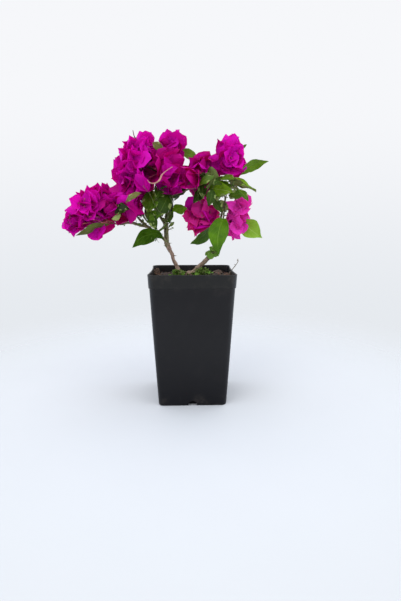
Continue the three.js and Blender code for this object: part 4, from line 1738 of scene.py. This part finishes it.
def facing_groups(bract_spots, targets):
    """The groups that look out of the crown's front."""
    for node, share, size, kind, tint in FACING_GROUPS:
        axis = unit((0, -0.95, 0.3))
        foot = on_mass(node, share)
        bract_spots[tint].add(foot, facing(axis, 0.4), size, kind)
        targets.append(Target(foot, axis, False))


def withered_shoot():
    """A dead shoot that curls up in front of the crown."""
    curl = ((0.28, -1.06, 0.09), (0.0, -1.15, -0.07), (-0.21, -1.26, -0.24), (-0.30, -1.32, -0.42),
            (-0.51, -1.35, -0.55), (-0.74, -1.35, -0.54), (-0.87, -1.26, -0.43))
    line = line_on("bracts_crown_middle", curl)
    run = np.linspace(0, 1, len(line))
    thickness = np.interp(run, [0, 0.3, 0.5, 0.7, 1], [0.35, 0.5, 1.2, 1.0, 0.3])
    return [(line, thickness * MM)]


def tendril():
    """A dry tendril on the crown's top."""
    shape = ((-0.6, -0.2, 0.0), (-0.92, -0.32, 0.17), (-1.07, -0.42, 0.44), (-1.13, -0.42, 0.73),
             (-1.17, -0.42, 0.98))
    line = line_on("bracts_top_left", shape)
    return [(line, np.linspace(1.0, 0.5, len(line)) * MM)]


def red_stalks(limbs):
    """The thin red stalks that fan out from the left-hand bough's tip, under its bracts."""
    rng = seeded("red stalks")
    bough = limbs[LIMBS.index("bough_left_outer")]
    paths = []
    for _ in range(9):
        start = bough.line[int(len(bough.line) * rng.uniform(0.5, 0.85))]
        end = on_mass("bracts_far_left", (rng.uniform(-0.35, 0.5), rng.uniform(-0.9, -0.5),
                                          rng.uniform(-0.75, -0.35)))
        middle = (start + end) / 2 + np.array([0, -4, rng.uniform(-2, 5)]) * MM
        line = smooth_line([start, middle, end], 2 * MM)
        paths.append((line, np.linspace(0.65, 0.4, len(line)) * MM))
    return paths


def dead_leaves():
    """Small curled dead leaves, which lie on the potting mix."""
    rng = seeded("dead leaves")
    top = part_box("soil")[1][2]
    spots = Spots()
    places = ((0.62, -0.55), (0.78, -0.15), (0.55, 0.35), (-0.72, -0.6), (-0.8, 0.1),
              (0.1, -0.75), (0.85, 0.55), (-0.45, 0.7))
    for x, y in np.array(places) * SOIL_HALF:
        place = np.array([x, y, top + soil_height(x, y) + 2.0 * MM])
        heading = unit([*rng.normal(0, 1, 2), 0.15])
        turn = basis(heading, unit(UP + rng.normal(0, 0.5, 3)))
        spots.add(place, turn, rng.uniform(0.22, 0.42), int(rng.integers(LEAF_KINDS)))
    return spots


# Stout spines by the left-hand fork: how far up the limb, and which way they point.
FORK_THORNS = {
    "stem_left": ((0.64, (0.95, -0.2, -0.1)), (0.95, (0.95, -0.3, 0.0)), (0.86, (-0.9, -0.3, 0.3))),
    "bough_centre": ((0.33, (0.95, -0.3, 0.1)), (0.42, (0.6, -0.6, 0.7))),
}
# Small shoots on the boughs: how far up the limb.
SPROUTS = {
    "bough_centre": (0.24, 0.34, 0.44), "bough_left": (0.35, 0.5, 0.62, 0.74, 0.86),
    "bough_left_outer": (0.12, 0.22, 0.33, 0.44, 0.55), "bough_right": (0.3, 0.5, 0.6, 0.7, 0.8),
}


def sprouts(limbs, leaf_spots):
    """Short shoots with two to four small leaves each, and their stalks."""
    rng = seeded("sprouts")
    stalks = []
    for limb in limbs:
        for share in SPROUTS.get(limb.node, ()):
            k = int(share * (len(limb.line) - 1))
            ahead = unit(limb.line[k] - limb.line[k - 1])
            side = unit(np.cross(ahead, rng.normal(0, 1, 3)))
            out = unit(side + 0.6 * UP - 0.4 * np.array([0, 1, 0]))
            root = limb.line[k]
            for _ in range(int(rng.integers(2, 5))):
                heading = unit(out + rng.normal(0, 0.45, 3))
                foot = root + heading * (limb.radius[k] + rng.uniform(1.5, 5) * MM)
                upward = unit(UP + 0.7 * side + rng.normal(0, 0.3, 3))
                leaf_spots.add(foot, basis(heading, upward), rng.uniform(0.1, 0.21),
                               int(rng.integers(4, 6)))
                stalks.append(bent_stalk(rng, root, foot, 0.4, (0.5, 0.4, 0.3)))
    return stalks


def thorn_spots(limbs):
    """Spines along the stems and boughs, at the leaf scars."""
    rng = seeded("thorns")
    spots = Spots()
    for limb in limbs:
        for share, way in FORK_THORNS.get(limb.node, ()):
            k = int(share * len(limb.line))
            root = limb.line[k] + np.array(way) * limb.radius[k] * 0.85
            spots.add(root, basis(unit(way), UP), 0.8, 3)
    for limb in limbs:
        headings = np.gradient(limb.line, axis=0)
        k = int(rng.integers(8, 14))
        while k < len(limb.line) - 10:
            ahead = unit(headings[k])
            side = unit(np.cross(ahead, rng.normal(0, 1, 3)))
            root = limb.line[k] + side * limb.radius[k] * 0.85
            heading = unit(side + 0.35 * ahead)
            spots.add(root, basis(heading, ahead), rng.uniform(0.35, 0.95), int(rng.integers(3)))
            k += int(rng.integers(9, 17))
    return spots


def dry_stalk():
    """A thin dead shoot that leans over the rim on the right, with the stubs of its leaves."""
    rim = np.array([wall_half(POT_HEIGHT)[0], 0, POT_HEIGHT])
    course = ((-9, 4, -11), (-4, 2, -3), (1, 0, 4), (6, -1, 11), (7.5, -1.5, 15.5), (6.2, -2, 15))
    line = smooth_line([rim + np.array(offset) * MM for offset in course], 1.5 * MM)
    paths = [(line, np.linspace(0.8 * MM, 0.42 * MM, len(line)))]
    rng = seeded("dry stalk")
    for k in range(5, len(line) - 1, 3):
        stub = line[k] + rng.normal(0, 1, 3) * np.array([1.6, 1.0, 1.2]) * MM
        paths.append((np.array([line[k], stub]), [0.5 * MM, 0.3 * MM]))
    paths.append((np.array([line[-2], line[-1], line[-1] + np.array([-0.5, 0, 1.4]) * MM]),
                  [0.6 * MM, 1.1 * MM, 0.3 * MM]))
    return paths


# -------- putting it together

make_camera()
make_lamp("key lamp", (-0.8, -1.2, 1.6), (0, 0, 0.3), 1.5, 11)
make_lamp("fill lamp", (1.5, -1.1, 0.6), (0, 0, 0.3), 1.4, 8.5)

SCATTER = scatter_group()
TWIGS = twig_group()
SOLIDS = {n: solid_tree(n) for n in BRACT_MASSES + LEAF_MASSES}
POT_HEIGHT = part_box("pot")[1][2]
POT_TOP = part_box("pot")[1][0]
lip_half, lip_foot = max((v.co.x, v.co.z) for v in NODES["pot"].data.vertices if v.co.z < 195 * MM)
POT_LIP = POT_HEIGHT - lip_foot
POT_BASE = POT_TOP - (POT_TOP - lip_half) * POT_HEIGHT / POT_LIP
SOIL_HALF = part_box("soil")[1][0] - 0.2 * MM

limbs = [Limb(n) for n in LIMBS]
wood_points = np.vstack([limb.line for limb in limbs])
wood = make_wood(limbs)

shape_rng = seeded("shapes")
spreads = np.linspace(0.32, 1.3, BRACT_KINDS)
bract_groups = [bract_group(shape_rng, s) for s in spreads]
flower_groups = [flower_group(shape_rng, s) for s in spreads]
showy_shapes = [showy_bract(shape_rng, is_round) for is_round in (True, True, False, False)]
leaf_shapes = [leaf_shape(shape_rng) for _ in range(LEAF_KINDS)]
young_shapes = [young_leaf_shape(shape_rng) for _ in range(4)] + leaf_shapes[:2]
GROUP_POINTS = [Shape.joined(group).points for group in bract_groups]
BRACT_PROBES = [probes(Shape.joined(group)) for group in bract_groups]
LEAF_PROBES = [probes(shape, 10) for shape in leaf_shapes]
HOLLOW_PLACES, HOLLOW_CLEAR = hollow_places()

bract_spots = {tint: Spots() for tint in TINTS}
petal_spots = {tint: Spots() for tint in TINTS}
leaf_spots = {tint: Spots() for tint in LEAF_TINTS}
targets = []
for node in BRACT_MASSES:
    if node != LONE_BRACTS:
        bract_spray(node, bract_spots, targets, leaf_spots)
for node in LEAF_MASSES:
    leaf_spray(node, targets, leaf_spots)
stray_stalks = stray_leaves(leaf_spots)
showy_bracts(petal_spots, targets)
facing_groups(bract_spots, targets)
growth = Growth(limbs)
growth.reach(targets)

tuft_leaves = Spots()
tuft_stalks = [stalk for node in TUFTS for stalk in tuft_spots(node, tuft_leaves, 4.0 * MM, 6, 11)]
tuft_stalks += tuft_spots(STEM_TUFT, tuft_leaves, 7.0 * MM, 10, 15)
tuft_stalks += sprouts(limbs, tuft_leaves)
singles, stalks = zip(*[single_leaf(node, wood_points) for node in SINGLE_LEAVES])
petioles = [(s, np.linspace(0.9 * MM, 0.65 * MM, len(s))) for s in stalks]

BRACT_COLOURS = {
    "deep": (rgb(210, 3, 160), rgb(168, 0, 106), rgb(222, 0, 128)),
    "full": (rgb(220, 6, 190), rgb(188, 0, 148), rgb(230, 0, 162)),
    "bright": (rgb(232, 14, 208), rgb(206, 2, 176), rgb(240, 0, 186)),
    # rosy is partly painted light: brighter than the others, for the light on the lower right bracts.
    "rosy": (rgb(248, 74, 218), rgb(226, 42, 184), rgb(248, 44, 190)),
    "dusky": (rgb(240, 52, 180), rgb(212, 24, 136), rgb(240, 22, 142)),
}
LEAF_COLOURS = {
    "dark": (rgb(52, 80, 8), rgb(34, 58, 4), rgb(98, 122, 50), 0.42),
    "mid": (rgb(80, 116, 10), rgb(56, 90, 4), rgb(130, 150, 70), 0.44),
    "light": (rgb(124, 160, 26), rgb(98, 134, 12), rgb(170, 190, 98), 0.46),
    "olive": (rgb(106, 108, 50), rgb(76, 76, 36), rgb(156, 140, 96), 0.5),
    # The shade tint is painted shade: a near-black green for leaves that stand in shadowed gaps of the
    # crown.
    "shade": (rgb(34, 44, 16), rgb(22, 28, 12), rgb(64, 66, 42), 0.48),
}
underside = leaf_finish("leaf underside", rgb(142, 158, 92), rgb(120, 138, 70), rgb(168, 182, 122),
                        0.6)

OPEN_FLOWER = 8  # the kind of group whose flowers are open
pieces = {"bark": [wood], "bracts": [], "leaves": [], "soil": [], "pot": []}
bracts = [one for group in bract_groups for one in group] + showy_shapes
every_flower, open_flower = Spots(), Spots()
for tint, spots in bract_spots.items():
    single = thrice(spots)
    single.rows += petal_spots[tint].rows
    finish = bract_finish(tint + " bracts", *BRACT_COLOURS[tint])
    pieces["bracts"].append(scattered("bracts_%s_tint" % tint, single, bracts, finish))
    every_flower.rows += spots.rows
    open_flower.rows += [(p, t, s, 0) for p, t, s, kind in spots.rows if kind == OPEN_FLOWER]
pieces["bracts"].append(scattered(
    "flower_tubes", thrice(every_flower), [tube for group, _ in flower_groups for tube in group],
    plain_finish("flower tubes", rgb(150, 40, 96), rgb(176, 86, 110), 300.0, 0.55, 0.15)))
pieces["bracts"].append(scattered(
    "flower_stars", open_flower, [flower_groups[OPEN_FLOWER][1][0]],
    plain_finish("flower stars", rgb(238, 228, 190), rgb(250, 244, 222), 500.0, 0.5, 0.2)))
for tint, spots in leaf_spots.items():
    finish = leaf_finish(tint + " leaves", *LEAF_COLOURS[tint])
    pieces["leaves"].append(
        scattered("leaves_%s_green" % tint, spots, leaf_shapes, finish, underside))

large = linked("large_leaves", Shape.joined(singles).mesh("large_leaves"))
large.data.materials.append(underside)
for tint, colours in LARGE_LEAF_COLOURS.items():
    large.data.materials.append(leaf_finish("large %s leaves" % tint, *colours, 0.42))
under = np.zeros(len(large.data.polygons), bool)
large.data.attributes["under"].data.foreach_get("value", under)
order = list(LARGE_LEAF_COLOURS)
tint_index = np.repeat([order.index(LARGE_LEAF_TINT[node]) + 1 for node in SINGLE_LEAVES],
                       [len(one.faces) for one in singles])
pale_out = np.repeat([node in PALE_SIDE_OUT for node in SINGLE_LEAVES],
                     [len(one.faces) for one in singles])
large.data.polygons.foreach_set("material_index", np.where(under & ~pale_out, 0, tint_index))
large.data.shade_smooth()
pieces["leaves"].append(large)
pieces["leaves"].append(scattered(
    "basal_leaves", tuft_leaves, young_shapes,
    leaf_finish("young leaves", rgb(116, 158, 60), rgb(80, 122, 34), rgb(160, 186, 104), 0.5),
    underside))

green = twig_finish("green twigs", rgb(56, 60, 34), rgb(98, 102, 62))
pieces["bark"].append(tubes("twigs", growth.twigs(), green))
leaf_bearers = petioles + tuft_stalks + stray_stalks
for slot, name, paths, dark, light in (
        ("leaves", "leaf_stalks", leaf_bearers, rgb(88, 104, 46), rgb(128, 138, 78)),
        ("bark", "dry_stalk", dry_stalk(), rgb(90, 82, 70), rgb(146, 134, 114)),
        ("bark", "withered_shoot", withered_shoot(), rgb(138, 92, 80), rgb(198, 150, 134)),
        ("bark", "tendril", tendril(), rgb(84, 56, 66), rgb(120, 84, 92)),
        ("bark", "red_stalks", red_stalks(limbs), rgb(128, 40, 60), rgb(186, 104, 104))):
    pieces[slot].append(tubes(name, paths, twig_finish(name.replace("_", " "), dark, light)))
thorn_rng = seeded("thorn shapes")
thorn_shapes = [thorn_shape(thorn_rng) for _ in range(3)] + [thorn_shape(thorn_rng, 1.9)]
pieces["bark"].append(scattered("thorns", thorn_spots(limbs), thorn_shapes,
                                twig_finish("thorns", rgb(86, 74, 56), rgb(132, 118, 92))))
pieces["soil"].append(make_soil())
pieces["soil"] += make_chips()
pieces["soil"].append(scattered(
    "dead_leaves", dead_leaves(), leaf_shapes,
    plain_finish("dead leaves", rgb(58, 42, 34), rgb(98, 78, 62), 260.0, 0.8)))
pieces["pot"].append(make_pot())

for slot, made in pieces.items():
    for piece in made:
        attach(piece, "root")
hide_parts(*LIMBS)
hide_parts(*BRACT_MASSES)
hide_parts(*LEAF_MASSES)
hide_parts(*SINGLE_LEAVES)
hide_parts(STEM_TUFT, *TUFTS)
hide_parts("soil")
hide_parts("pot")


# -------- surroundings

def make_floor():
    """A pale round floor that fades into the backdrop."""
    radius, steps = 1.2, 64
    points = [(radius * math.cos(a), radius * math.sin(a), 0)
              for a in np.arange(steps) * 2 * math.pi / steps]
    floor = linked("floor", Shape(points, [tuple(range(steps))]).mesh("floor"))
    f = Finish("pale floor")
    away = f.add("ShaderNodeVectorMath", {"operation": "LENGTH"}, {0: f.place}).out("Value")
    cloud = f.noise(9.0, 2.0)
    colour = f.mixed(cloud, rgb(194, 197, 201), rgb(197, 200, 204))
    shader = f.add("ShaderNodeBsdfPrincipled", None, {"Base Color": colour, "Roughness": 0.8,
                                                      "Specular IOR Level": 0.1}).out()
    clear = f.add("ShaderNodeBsdfTransparent").out()
    both = f.add("ShaderNodeMixShader", None, {0: away.ramp(0.12, 0.7), 1: shader, 2: clear}).out()
    f.add("ShaderNodeOutputMaterial", None, {"Surface": both})
    floor.data.materials.append(f.material)
    return floor


def make_world():
    """An even pale backdrop. Its light is stronger and bluer from the sides than from the front."""
    world = bpy.data.worlds.new("studio")
    world.use_nodes = True
    world.node_tree.nodes.clear()
    tree = Tree(world.node_tree)
    way = tree.add("ShaderNodeTexCoord").out("Generated")
    split = tree.add("ShaderNodeSeparateXYZ", None, {0: way})
    across, depth, height = (split.out(axis) for axis in "XYZ")
    sideways = across.absolute().ramp(0.3, 0.95)
    strength = 0.52 + sideways * 1.0 + depth.ramp(-0.2, 0.8) * 0.5 + height.ramp(0.1, 0.9) * 0.85
    tone = tree.mixed(sideways, (0.98, 0.98, 1.0, 1.0), (0.78, 0.87, 1.0, 1.0))
    light = tree.add("ShaderNodeBackground", None, {"Color": tone, "Strength": strength}).out()
    backdrop = tree.mixed(height.ramp(-0.25, 0.25), rgb(230, 234, 239), rgb(246, 247, 250))
    seen = tree.add("ShaderNodeBackground", None, {"Color": backdrop, "Strength": 1.0}).out()
    camera_ray = tree.add("ShaderNodeLightPath").out("Is Camera Ray")
    both = tree.add("ShaderNodeMixShader", None, {0: camera_ray, 1: light, 2: seen}).out()
    tree.add("ShaderNodeOutputWorld", None, {"Surface": both})
    SCENE.world = world


make_floor()
make_world()
SCENE.view_settings.view_transform = "Standard"
